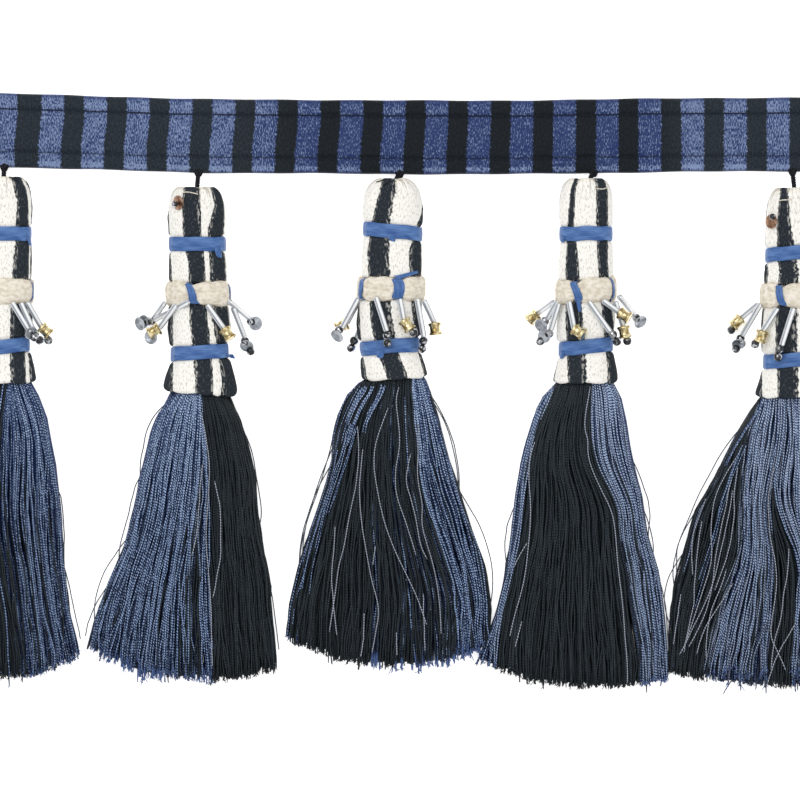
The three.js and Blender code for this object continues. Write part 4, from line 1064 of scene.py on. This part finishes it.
# A skirt's outline is half widths down the drop, and its ends are lengths from left to right. Threads shine
# by `gloss`, blue ones stop short of the ends by `shy`, and blue cut ends show underneath between the tips
# given. A lock has its share of blue threads and the place of its right edge down the drop; the last one
# reaches the outline. Black threads in blue or sunk locks lie deeper near the hem. Streaks are a few blue
# threads side by side. Streaks, single threads and loops follow paths of (drop, across), all in millimetres
# from the middle of the hem.
SKIRTS = (
    Skirt(
        (8.0, 9.4, 10.8, 12.2, 13.2, 14.6, 16.4, 18.5, 20.5, 22.6, 24.5, 25.4),
        (7.2, 8.8, 10.3, 11.3, 11.9, 13.2, 14.1, 15.0, 15.6, 16.6, 18.8, 20.2),
        (68, 72.5, 74.5, 73.5, 68.8), 0.77, 0.0, (),
        (Lock(0.06, (1.4, 0.6, -0.4, -0.8, -1.0, -1.0, -0.3, 1.4, 4.0)),
         Lock(0.82, (2.4, 4.4, 6.0, 6.4, 6.0, 5.6, 6.4, 8.4, 10.5)),
         Lock(0.93, ())),
        (),
        (((20, -3.0), (32, -5.5), (45, -6.0), (60, -9.5), (70, -11.0)),),
        (((27, 14.0), (31, 15.2), (40, 15.5), (47, 15.4)), ((45, 15.0), (50, 16.4), (58, 18.2), (66, 19.8)))),
    Skirt(
        (6.4, 9.0, 11.0, 12.6, 13.5, 15.3, 16.8, 19.4, 23.8, 27.4, 29.4, 30.2),
        (6.5, 8.6, 10.1, 11.3, 12.2, 13.5, 14.2, 15.5, 17.4, 18.3, 18.8, 19.0),
        (64.2, 71.0, 72.3, 72.0, 69.5), 1.0, 0.0, ((-24, -9), (-1.6, 2.6)),
        (Lock(0.95, (-0.4, 0.0, -0.5, -1.0, -1.5, -2.7, -4.0, -5.3, -5.8)),
         Lock(0.72, (0.0, 0.5, 1.2, 1.9, 2.0, 2.0, 1.9, 2.1, 3.2)),
         Lock(0.0, ())),
        (),
        (((3, 0.2), (12, 1.6), (17, 2.1), (24, 2.1), (36, 1.2), (43, 1.9), (52, 2.5), (62, 3.0), (70, 2.6)),
         ((21, 3.4), (26, 4.6), (33, 5.1), (40, 5.2), (48, 3.9), (52, 3.0)),
         ((16, 0.6), (26, -0.3), (34, -0.6), (42, -2.6))),
        (((2, -8.0), (5, -11.6), (9, -13.8), (14, -14.9), (18, -15.6), (22, -15.4), (26, -15.4)),
         ((18, -14.0), (22, -16.0), (26, -17.9), (32, -18.6), (38, -20.9), (43, -20.8)),
         ((36, -18.6), (40, -21.4), (45, -24.9), (52, -27.2), (58, -27.2), (62, -26.4)),
         ((45, -21.4), (52, -26.2), (57, -28.6), (62, -29.6)),
         ((7, 9.4), (10, 11.7), (14, 13.2), (20, 14.0), (25, 14.8), (30, 15.5), (34, 14.6)),
         ((43, 16.2), (50, 18.0), (58, 18.9), (66, 20.0)))),
    Skirt(
        (9.0, 12.0, 13.8, 15.0, 15.9, 16.1, 18.1, 21.7, 24.7, 27.0, 27.8, 28.6),
        (7.4, 8.5, 9.4, 10.8, 11.7, 13.3, 16.4, 19.4, 22.8, 24.2, 24.4, 24.0),
        (66.0, 71.2, 72.8, 71.8, 68), 1.0, 1.2, ((-6.5, -2.6), (0, 21.5)),
        (Lock(0.18, (-7.0, -10.4, -13.2, -14.2, -15.2, -16.6, -19.6, -22.6, -24.0)),
         Lock(0.0, (4.0, 4.2, 5.0, 5.5, 6.0, 7.3, 10.6, 15.6, 15.9)),
         Lock(0.78, (7.5, 9.2, 11.0, 12.6, 14.4, 16.4, 19.5, 22.6, 22.5)),
         Lock(0.3, ())),
        (Streak(5, 1.3, ((0.6, -6.6), (2.4, -6.9), (4.9, -8.8), (8.9, -10.8), (12.8, -12.0), (18, -13.2))),
         Streak(4, 0.6, ((1.0, -7.8), (3.2, -9.3), (7.2, -11.2), (11.0, -12.6))),
         Streak(5, 0.8, ((0.4, -2.6), (3.2, -3.6), (4.9, -4.5), (8.3, -6.5), (11.7, -8.0), (15.6, -8.2))),
         Streak(3, 0.5, ((9.0, -11.2), (17.3, -13.0), (24.1, -15.2), (32.6, -17.7), (43.9, -20.3),
                         (57, -22.4))),
         Streak(2, 0.4, ((10.0, -9.6), (17.3, -11.3), (22.4, -13.0), (26.9, -14.5), (36, -17.4))),
         Streak(4, 0.6, ((16, -14.9), (23.3, -16.2), (30.3, -18.2), (38.2, -20.9), (46.7, -23.1),
                         (58, -25.2)))),
        (((1.3, 0.9), (5, 0.2), (10, 0.7), (15, 1.2), (19, 0.7), (24, -0.4), (30, 0.4), (36, 2.7), (46, 5.5)),
         ((6, -1.6), (13, -3.9), (19, -5.9), (27, -4.7), (33, -3.4), (41, -1.4), (51, 3.7), (57, 6.2),
          (63, 8.0)),
         ((10, -9.5), (18, -9.0), (24, -9.6), (30, -10.8), (41, -12.8), (46, -14.1), (52, -15.1),
          (66, -17.1)),
         ((16, -8.2), (23, -9.0), (28, -9.2), (36, -8.7), (42, -7.7), (50, -6.2), (58, -4.4),
          (64, -4.9), (70, -6.2)),
         ((18, 4.2), (23, 2.9), (26, 2.7), (30, 4.0), (37, 5.5), (42, 6.2), (46, 8.3)),
         ((10, 5.7), (18, 5.5), (25, 5.7), (32, 6.8), (36, 6.5), (42, 7.8), (46, 9.5), (56, 11.3),
          (66, 11.6)),
         ((53, 7.0), (61, 7.3), (70, 7.5)),
         ((36, -15.3), (43, -15.6), (51, -16.4), (58, -15.6), (66, -14.8)),
         ((58, -8.0), (66, -8.0), (71, -9.0)),
         ((41, -4.9), (48, -5.9)),
         ((63, 0.2), (71, 0.4))),
        (((1, -9.4), (5, -13.2), (10, -15.4), (16, -16.4), (22, -18.0), (28, -19.8), (36, -22.6),
          (44, -24.6), (51, -24.6)),
         ((16, -15.6), (24, -18.8), (31, -21.2), (40, -23.6), (47, -23.8)),
         ((20, -15.6), (27, -19.7), (34, -22.4), (42, -24.4), (50, -24.6)),
         ((3, 8.0), (8, 11.6), (14, 14.0), (19, 15.5), (25, 16.4), (29, 16.2)),
         ((5, 8.8), (10, 12.2), (18, 15.0), (27, 16.3), (32, 16.2)),
         ((26, 14.8), (29, 16.9), (33, 19.2), (37, 21.6), (43, 23.6), (48, 24.6), (53, 24.6),
          (57, 24.2), (60, 23.4)))),
    Skirt(
        (7.4, 10.6, 12.3, 13.6, 14.9, 16.4, 17.9, 19.0, 20.3, 22.8, 25.8, 28.8),
        (7.0, 8.7, 9.5, 10.3, 10.9, 12.0, 14.2, 15.6, 18.6, 19.9, 20.6, 20.9),
        (71, 75.5, 77.0, 76.8, 75), 1.32, 0.0, (),
        (Lock(0.85, (-7.2, -10.4, -12.7, -14.4, -15.0, -15.8, -17.0, -20.4, -23.3)),
         Lock(0.0, (1.4, 1.1, 1.1, 1.8, 4.0, 8.3, 9.0, 11.0, 13.8)),
         Lock(0.88, ())),
        (),
        (((0, 1.1), (4, 0.4), (8, -0.4), (12, -0.6), (14, 0.4), (18, 0.6), (23, 2.2), (27, 4.2), (31, 6.0),
          (36, 7.2), (46, 8.0), (56, 9.5), (65, 10.3), (70, 10.8), (77, 10.6)),
         ((14, -12.8), (18, -14.1), (23, -14.4), (30, -13.9), (35, -14.1), (41, -14.6), (47, -15.1),
          (54, -16.6), (59, -18.2), (65, -19.4)),
         ((59, -15.9), (68, -18.2)),
         ((40, -14.6), (43, -16.6), (47, -18.4))),
        (((18, 11.4), (23, 13.8), (27, 15.1), (31, 16.4), (35, 16.4), (41, 16.0)),
         ((29, 13.6), (36, 16.4), (41, 17.5), (45, 17.0)),
         ((30, -17.4), (34, -19.4), (38, -20.3), (42, -20.6), (47, -19.8)),
         ((47, 17.8), (53, 19.9), (60, 20.8), (70, 21.4)))),
    Skirt(
        (8.2, 10.3, 11.7, 14.6, 16.5, 19.4, 24.2, 27.3, 30.0, 31.0, 31.2, 31.6),
        (8.5, 10.0, 11.4, 12.9, 14.4, 16.0, 18.2, 20.4, 22.4, 23.6, 24.6, 25.2),
        (69.5, 72.5, 73.6, 73.8, 72), 1.5, 2.8, (),
        (Lock(0.04, (-7.8, -10.8, -12.1, -12.7, -12.9, -13.7, -13.7, -19.3, -22.8)),
         Lock(0.93, (-2.8, -2.3, -2.8, -4.0, -5.8, -6.1, -4.5, -4.5, -6.1)),
         Lock(0.0, (-2.8, -2.3, -2.8, -3.8, -4.6, -3.2, 1.2, 1.2, 0.0), True),
         Lock(0.95, (2.1, 2.6, 2.8, 2.8, 2.1, 2.6, 5.9, 6.6, 5.1)),
         Lock(0.55, ())),
        (Streak(3, 0.5, ((10, -11.4), (18, -14.8), (26, -17.6), (34, -19.4), (44, -22.6), (56, -25.8))),
         Streak(4, 0.7, ((0.4, -6.8), (3.4, -8.6), (6.7, -10.9), (10.6, -13.2), (14.4, -15.4), (20, -18.0),
                         (25, -20.8)))),
        (((12, -12.4), (20, -17.6), (27, -20.2), (34, -20.9), (38, -20.2), (46, -21.4), (54, -24.6),
          (66, -28.2)),
         ((18, -14.6), (24, -16.4), (31, -17.8), (40, -19.4), (50, -20.6), (58, -23.4), (64, -26.8)),
         ((22, -15.0), (31, -16.4), (40, -18.2), (50, -20.9), (60, -26.2), (66, -29.0)),
         ((30, -22.6), (38, -24.2), (48, -24.6), (56, -25.6), (66, -27.9)),
         ((24, -21.3), (34, -25.1), (38.5, -25.6), (46, -25.1)),
         ((46, -14.5), (52, -18.0), (58.4, -22.7), (66, -24.5)),
         ((49, -28.0), (54, -28.8), (64, -30.3)),
         ((42, -16.3), (51, -19.2), (55, -21.3), (68, -22.1)),
         ((16, -13.7), (24, -14.8), (34, -14.8), (41, -16.9), (50, -20.1)),
         ((16, -4.6), (24, -6.0), (31, -6.6), (37, -5.2), (44, -3.6), (52, -4.1), (60, -6.0),
          (64, -3.6), (70, -1.4)),
         ((37, -0.8), (44, -1.0), (50, -2.2), (56, -2.8), (62, -4.8), (70, -5.4)),
         ((56, 1.6), (62, -2.2), (68, -5.0), (73, -6.4))),
        (((5, -10.6), (10, -15.2), (16, -19.0), (22, -22.6), (30, -25.9), (36, -28.6), (42, -29.6),
          (48, -29.0)),
         ((27, -23.4), (34, -27.6), (40, -29.8), (45, -30.2), (50, -29.6)),
         ((38, -26.4), (42, -29.6), (48, -32.4), (54, -32.2), (59, -30.4)),
         ((70, -14.0), (73, -16.2), (75.5, -17.6)))),
)
ROOT_DROP = -1.3
THREAD_START = -1.0
END_PROBE = 66.0
SKIRT_LOWEST = 0.22
SLOPE_FADE = 30
BLUE_LOCK = 0.5
LAYERS = 6
LAYER_THREADS = 54
LAYER_STEP = 0.24
UNDER_LEVELS = (0.05, 0.28, 0.52, 0.76)
UNDER_THREADS = 70
UNDER_RADIUS = 0.42
UNDER_STATIONS = 12
UNDER_SHORTER = 0.8
UNDER_LOWEST = 0.28
UNDER_LIT = 0.35
THREAD_STATIONS = 34
THREAD_RADIUS = 0.24
THREAD_LOWEST = 0.25
THREAD_UNEVEN = 0.28
LONG_SHARE = 0.02
SHORT_SHARE = 0.06
HIDDEN_DEEPER = 0.8
HIDDEN_FADE = 46
SUNK_SHARE = 0.45
SUNK_FADE = 30
BUNDLE_WIDE = 1.7
BUNDLE_PULL = 0.12
BUNDLE_CROWN = 0.16
BUNDLE_FULL = 14
BUNDLE_SWAY = 0.3
SINGLE_STATIONS = 60
SINGLE_OVER = 0.9
SINGLE_RADIUS = 0.16
LOOP_RADIUS = 0.14
STREAK_RADIUS = 0.15
TUFTS = 60
TUFT_UNEVEN = 0.2
TWIST_PITCH = 0.72
SHEEN_PALING = 0.8
TIP_LAYER = 2
TIP_LONGER = 0.5
TIP_BARED = 2.6
FRAY_COUNT = 420
FRAY_STATIONS = 5
FRAY_RADIUS = 0.1
FRAY_CURL = (0.45, 0.28, 0.15)
FRAY_LIFT = 0.3
FRAY_LOWEST = 0.15
# Heights of a skirt down its length: drop below the hem, underside, middle, top, rounding of the underside.
SKIRT_DROPS = (ROOT_DROP, 0.8, 6, 14, 28, 48, 66)
SKIRT_FLOOR = (2.3, 1.8, 0.4, 0.25, 0.25, 0.25, 0.25)
SKIRT_MIDDLE = (6.5, 6.3, 4.0, 2.6, 1.6, 1.3, 1.1)
SKIRT_TOP = (10.6, 11.0, 11.4, 10.2, 7.9, 6.0, 4.7)
SKIRT_BELLY = (4.3, 4.2, 1.5, 0.2, 0.0, 0.0, 0.0)
ROOT_HALF = 6.4


def eased(at, places, values):
    """A smooth line through measured places: the mean of straight interpolations a little to either side."""
    near = 0.12 * np.ptp(places) * np.linspace(-0.5, 0.5, 7)
    return np.mean([np.interp(at + n, places, values) for n in near], axis=0)


def skirt_edges(tassel, skirt, drop):
    """How far across the skirt's left and right outlines are at a drop, from the middle of the hem."""
    root = ROOT_HALF * tassel.hem_half / PATTERN.hem_half
    places = (ROOT_DROP, *OUTLINE_DROPS)
    left, right = (np.interp(drop, places, (root, *halves)) for halves in (skirt.left, skirt.right))
    return -left, right


def skirt_point(tassel, skirt, drop, across, rise):
    """A place in a skirt, in metres: drop below the hem, across from its middle, and rise from 0 underneath
    to 1 on top. Heights come from the tables, and fall off towards both edges of the outline."""
    left, right = skirt_edges(tassel, skirt, drop)
    share = np.clip(across / np.where(across < 0, -left, right), -1, 1)
    columns = (SKIRT_FLOOR, SKIRT_MIDDLE, SKIRT_TOP, SKIRT_BELLY)
    floor, middle, top, belly = (np.interp(drop, SKIRT_DROPS, column) for column in columns)
    rounding = np.sqrt(1 - np.abs(share) ** 3) * 0.88 + 0.12
    base = floor + belly * (1 - rounding)
    crest = middle + (top - middle) * rounding
    slope = tassel.hem_slope * across * np.clip(1 - drop / SLOPE_FADE, 0, 1)
    y = tassel.top_y - tassel.hem - drop - slope
    up = np.maximum(base + rise * (crest - base), SKIRT_LOWEST)
    return np.stack(np.broadcast_arrays(tassel.hem_x + across, y, up), axis=-1) * MM


def lock_edges(tassel, skirt, drop):
    """The edges between a skirt's locks at a drop, from its left outline to its right one, kept in order."""
    left, right = skirt_edges(tassel, skirt, drop)
    edges = [left] + [eased(drop, LOCK_DROPS, one.edge) for one in skirt.locks[:-1]] + [right]
    return np.maximum.accumulate(np.clip(edges, left, right), axis=0)


def lock_across(tassel, skirt, lock, share, drop):
    """Where a thread is across the skirt: its share of the way from its lock's left edge to its right one."""
    edges = lock_edges(tassel, skirt, drop)
    row = np.arange(len(drop))
    return edges[lock, row] * (1 - share[:, None]) + edges[lock + 1, row] * share[:, None]


def drawn_paths(tassel, skirt, lines, lift, ragged):
    """Threads along measured lines of (drop, across), smoothed, lying on top of the skirt or just beside it.
    Ragged ones start and stop at random short of their line's ends."""
    drop, across = [], []
    for line in lines:
        first = 0.1 * ragged * rng.uniform()
        step = np.linspace(first, 1 - 0.4 * ragged * rng.uniform(), SINGLE_STATIONS)
        down, side = along_line(line, step, 0.5 / (len(line) - 1))
        drop.append(down)
        across.append(side)
    drop = np.array(drop)
    sway = wander(len(lines), SINGLE_STATIONS, 9, 0.003) * np.ptp(drop, axis=1)[:, None]
    across = np.array(across) + sway
    paths = skirt_point(tassel, skirt, drop, across, lift)
    step = np.linspace(0, 1, SINGLE_STATIONS)
    paths[..., 2] += SINGLE_OVER * MM * (lift - np.exp(-step / 0.02) - np.exp((step - 1) / 0.02))
    return drop, paths


rayon, s = new_material("skirt_thread", Specular_IOR_Level=0.1)
tint, along, flank, lit = (s.attribute(name) for name in ("tint", "along", "flank", "lit"))
# ply and bead paint a highlight that comes and goes along each thread with the twist of its plies. crest
# paints a highlight along each thread's top and shade on its flanks. lit darkens deeper threads as painted
# shade between them.
ply = (along * (tint * 0.25 + 0.9) * (2 * np.pi / TWIST_PITCH) + flank * 1.5 + tint * 900).sine()
bead = ply.rise(-0.3, 0.4)
crest = abs(flank).rise(0.95, 0.25)
slub = s.node("CombineXYZ", {}, {0: along * 1.4, 1: tint * 120}).grain(1.0, 2.0).rise(0.3, 0.64)
gleam = (lit * (tint * 0.6 + 0.4) * crest * (bead * 0.85 + 0.15) * (slub + 0.4)).rise(0.0, 0.68)
sheen = along.rise(40, 2)
deep = sheen.blend(paint(17, 30, 62), paint(36, 57, 102))
bright = sheen.blend(paint(158, 182, 220), paint(190, 211, 240))
cut = s.attribute("tip").rise(0.955, 0.98) * 0.75
blue = cut.blend(gleam.blend(deep, bright), paint(92, 116, 172))
grey = (crest * (ply.rise(-0.4, 0.5) * 0.8 + 0.2)).blend(paint(52, 58, 74), paint(200, 206, 219))
black = gleam.blend(paint(31, 37, 42), paint(57, 65, 71))
dyed = s.attribute("blue").blend(black, blue)
surface(s, s.attribute("pale").blend(dyed, grey), 0.5)


def skirt_places(tassel, skirt, count, layers):
    """Threads spread evenly across a skirt, layer after layer: the lock that each is in, and its share of the
    way across that lock. Locks take threads by their mean width."""
    widths = np.diff(lock_edges(tassel, skirt, np.linspace(2, 64, 9)), axis=0).mean(axis=1) + 0.3
    bounds = np.concatenate([[0], np.cumsum(widths)]) / widths.sum()
    place = ((np.arange(count) + rng.uniform(0.05, 0.95, (layers, count))) / count).ravel()
    lock = np.searchsorted(bounds, place) - 1
    return lock, (place - bounds[lock]) / (bounds[lock + 1] - bounds[lock])


def thread_ends(tassel, skirt, lock, share):
    """How far across each thread ends, and at what drop: the end line, cut a little unevenly in tufts."""
    drop = np.full((len(lock), 1), END_PROBE)
    last = lock_across(tassel, skirt, lock, share, drop)[:, 0]
    left, right = skirt_edges(tassel, skirt, END_PROBE)
    spread = np.where(last < 0, -last / left, last / right)
    tuft = np.floor((spread + 1) / 2 * TUFTS).astype(int).clip(0, TUFTS - 1)
    end = np.interp(spread, END_SHARES, skirt.ends) + rng.normal(scale=TUFT_UNEVEN, size=TUFTS)[tuft]
    return last, end + rng.normal(scale=THREAD_UNEVEN, size=len(lock))


for number, (tassel, skirt) in enumerate(zip(TASSELS, SKIRTS), 1):
    lock, share = skirt_places(tassel, skirt, UNDER_THREADS, len(UNDER_LEVELS))
    _, end = thread_ends(tassel, skirt, lock, share)
    step = np.linspace(0, 1, UNDER_STATIONS)[None, :]
    drop = THREAD_START + (end[:, None] - UNDER_SHORTER - THREAD_START) * step**1.15
    across = lock_across(tassel, skirt, lock, share, drop)
    across += wander(len(lock), UNDER_STATIONS, 6, 0.2) * step
    rise = np.repeat(UNDER_LEVELS, UNDER_THREADS)[:, None] + rng.uniform(-0.04, 0.08, (len(lock), 1))
    paths = skirt_point(tassel, skirt, drop, across * (1 - 0.02 * step), rise)
    paths[..., 2] = np.maximum(paths[..., 2], UNDER_LOWEST * MM)
    tints = rng.uniform(size=(len(lock), 1))
    blue = np.array([one.blue > BLUE_LOCK for one in skirt.locks])[lock][:, None]
    mesh = strand_mesh(
        f"under_threads_{number}", paths, UNDER_RADIUS * MM, 3, along=drop, tint=tints, lit=UNDER_LIT,
        blue=blue, pale=0.0, tip=0.0)
    add_piece(f"under_threads_{number}", mesh, rayon, "skirt_thread")

    lock, share = skirt_places(tassel, skirt, LAYER_THREADS, LAYERS)
    threads = len(lock)
    layer = np.repeat(np.arange(LAYERS), LAYER_THREADS)
    last, end = thread_ends(tassel, skirt, lock, share)
    around = 2 * np.pi * last / BUNDLE_WIDE + 2.6 * np.sin(last / 2.3 + number)
    around += 1.2 * np.sin(last / 0.9 + 2 * number)
    _, bundle = np.unique(1000 * lock + np.round(around / (2 * np.pi)), return_inverse=True)
    bundles = bundle.max() + 1
    blue_share = np.array([one.blue for one in skirt.locks])[lock]
    blue = rng.uniform(size=threads) < blue_share
    hidden = ~blue & ((blue_share > BLUE_LOCK) | np.array([one.sunk for one in skirt.locks])[lock])
    luck = rng.uniform(size=threads)
    end += np.where(luck < LONG_SHARE, rng.uniform(0.8, 2.4, threads), 0)
    end -= np.where(luck > 1 - SHORT_SHARE, rng.uniform(1, 8, threads), 0)
    end -= np.where(blue & (layer < LAYERS - 1), skirt.shy * rng.uniform(0.3, 1.5, threads), 0)
    over_tips = np.any([(last > low) & (last < high) for low, high in skirt.tips + ((0, 0),)], axis=0)
    in_tips = over_tips & (layer >= TIP_LAYER)
    blue |= in_tips
    end -= rng.uniform(0, TIP_BARED, threads) * (over_tips & (layer < TIP_LAYER))
    end += (TIP_LONGER + rng.normal(scale=0.3, size=threads)) * in_tips
    step = np.linspace(0, 1, THREAD_STATIONS)[None, :]
    drop = THREAD_START + (end[:, None] - THREAD_START) * step**1.1
    left, right = skirt_edges(tassel, skirt, drop)
    fan = (right - left) / (skirt.left[-1] + skirt.right[-1])
    across = lock_across(tassel, skirt, lock, share, drop)
    across += wander(bundles, THREAD_STATIONS, 7, BUNDLE_SWAY)[bundle] * step**0.6
    across += wander(threads, THREAD_STATIONS, 5, 0.4) * step**0.6
    across += wander(threads, THREAD_STATIONS, 16, 0.2) * step**0.3
    across -= BUNDLE_PULL * fan * np.sin(around)[:, None]
    inset = rng.uniform(-0.3, 0.6, (2, threads, 1)) * np.minimum(1, 4 * step)
    across = np.clip(across, left + inset[0], right - inset[1])
    crown = BUNDLE_CROWN * np.cos(around)[:, None] * np.minimum(1, np.maximum(drop, 0) / BUNDLE_FULL)
    depth = LAYER_STEP * layer[:, None] - crown + wander(threads, THREAD_STATIONS, 8, 0.1)
    depth += HIDDEN_DEEPER * hidden[:, None] * np.clip(1 - drop / HIDDEN_FADE, 0, 1)
    is_sunk = rng.uniform(size=(threads, 1)) < SUNK_SHARE
    depth += THREAD_RADIUS * is_sunk * np.clip(1 - drop / SUNK_FADE, 0, 1)
    paths = skirt_point(tassel, skirt, drop, across, 1.0)
    paths[..., 2] = np.maximum(paths[..., 2] - depth * MM, THREAD_LOWEST * MM)
    lit = np.clip(0.95 - depth, 0.1, 1.1) * skirt.gloss
    thick = THREAD_RADIUS * MM * rng.uniform(0.85, 1.15, (threads, 1)) * (1 - 0.45 * step**24)
    tints = rng.uniform(size=(threads, 1))
    # Blue threads of a skirt with a gloss above 1 are paled towards the grey by their tint: painted sheen.
    sheen_paling = blue[:, None] * tints * SHEEN_PALING * max(0, skirt.gloss - 1)
    mesh = strand_mesh(
        f"skirt_{number}", paths, thick, 4, along=drop, tint=tints, lit=lit, blue=blue[:, None],
        pale=sheen_paling, tip=step * in_tips[:, None])
    add_piece(f"thread_skirt_{number}", mesh, rayon, "skirt_thread", f"skirt_{number}")

    cut_thread = rng.integers(threads, size=FRAY_COUNT)
    step = np.linspace(0, 1, FRAY_STATIONS)[None, :, None]
    tip = paths[cut_thread, -1:]
    back = (paths[cut_thread, -2:-1] - tip) * rng.uniform(0.2, 0.9, (FRAY_COUNT, 1, 1))
    curl = rng.normal(scale=FRAY_CURL, size=(FRAY_COUNT, 1, 3)) * MM * step**1.5
    fibres = tip + back * (1 - step) + curl + np.multiply((0, 0, FRAY_LIFT * MM), step)
    fibres[..., 2] = np.maximum(fibres[..., 2], FRAY_LOWEST * MM)
    tints = rng.uniform(size=(FRAY_COUNT, 1))
    mesh = strand_mesh(
        f"frayed_ends_{number}", fibres, FRAY_RADIUS * MM, 3, along=end[cut_thread, None], tint=tints,
        lit=0.8, blue=blue[cut_thread, None], pale=0.0, tip=1.0)
    add_piece(f"frayed_ends_{number}", mesh, rayon, "skirt_thread")

    streaks = [np.add(streak.line, (0, side)).tolist() for streak in skirt.streaks
               for side in streak.wide * rng.uniform(-1, 1, streak.count)]
    for kind, lines, lift, ragged, radius, blue, pale in (
        ("streak", streaks, 1.0, 1.0, STREAK_RADIUS, 1.0, 0.0),
        ("single", skirt.singles, 1.0, 0.0, SINGLE_RADIUS, 0.0, 1.0),
        ("loop", skirt.loops, 0.5, 0.0, LOOP_RADIUS, 0.0, 0.3),
    ):
        if lines:
            drop, paths = drawn_paths(tassel, skirt, lines, lift, ragged)
            tints = rng.uniform(0.3, 1, (len(lines), 1))
            name = f"{kind}_threads_{number}"
            mesh = strand_mesh(
                name, paths, radius * MM, 4, along=drop, tint=tints, lit=0.8 + 0.6 * pale, blue=blue,
                pale=pale, tip=0.0)
            add_piece(name, mesh, rayon, "skirt_thread")

# The trim lies on a plain white table under even, soft studio light. It is seen from straight above
# through a long lens.
VIEW_SPAN = 203.2 * MM
VIEW_MIDDLE = (0.76 * MM, -67.06 * MM)
VIEW_FOCUS_UP = 5 * MM
CAMERA_LENS = 400.0
CAMERA_SENSOR = 36.0
FLOOR_HALF = 3.0
TABLE_GLOW = 0.6
ROOM_LIGHT = 0.69
floor_corners = np.array([(-1, -1, 0), (1, -1, 0), (1, 1, 0), (-1, 1, 0)]) * FLOOR_HALF
floor_mesh = bpy.data.meshes.new("table")
floor_mesh.from_pydata(floor_corners.tolist(), [], [(0, 1, 2, 3)])
white, s = new_material(
    "white_table", Roughness=0.9, Specular_IOR_Level=0.0, Emission_Color=(1.0, 1.0, 1.0, 1.0),
    Emission_Strength=TABLE_GLOW)
surface(s, paint(252, 252, 252))
floor_mesh.materials.append(white)
floor = bpy.data.objects.new("table", floor_mesh)
bpy.context.scene.collection.objects.link(floor)

world = bpy.data.worlds.new("studio")
world.use_nodes = True
world.node_tree.nodes["Background"].inputs["Color"].default_value = (1.0, 1.0, 1.0, 1.0)
world.node_tree.nodes["Background"].inputs["Strength"].default_value = ROOM_LIGHT
bpy.context.scene.world = world
bpy.context.scene.view_settings.view_transform = "Standard"
for name, power, size, place, turn in (
    ("key_light", 3.4, 0.7, (-0.35, 0.35, 0.9), (np.radians(-27), np.radians(-19), 0)),
    ("fill_light", 1.5, 0.9, (0.45, -0.3, 0.9), (np.radians(15), np.radians(24), 0)),
):
    lamp = bpy.data.lights.new(name, "AREA")
    lamp.energy = power
    lamp.size = size
    light_object = bpy.data.objects.new(name, lamp)
    light_object.location = place
    light_object.rotation_euler = turn
    bpy.context.scene.collection.objects.link(light_object)

lens = bpy.data.cameras.new("camera")
lens.lens = CAMERA_LENS
lens.sensor_width = CAMERA_SENSOR
lens.clip_end = 10.0
camera = bpy.data.objects.new("camera", lens)
camera.location = (*VIEW_MIDDLE, VIEW_FOCUS_UP + VIEW_SPAN * CAMERA_LENS / CAMERA_SENSOR)
bpy.context.scene.collection.objects.link(camera)
bpy.context.scene.camera = camera
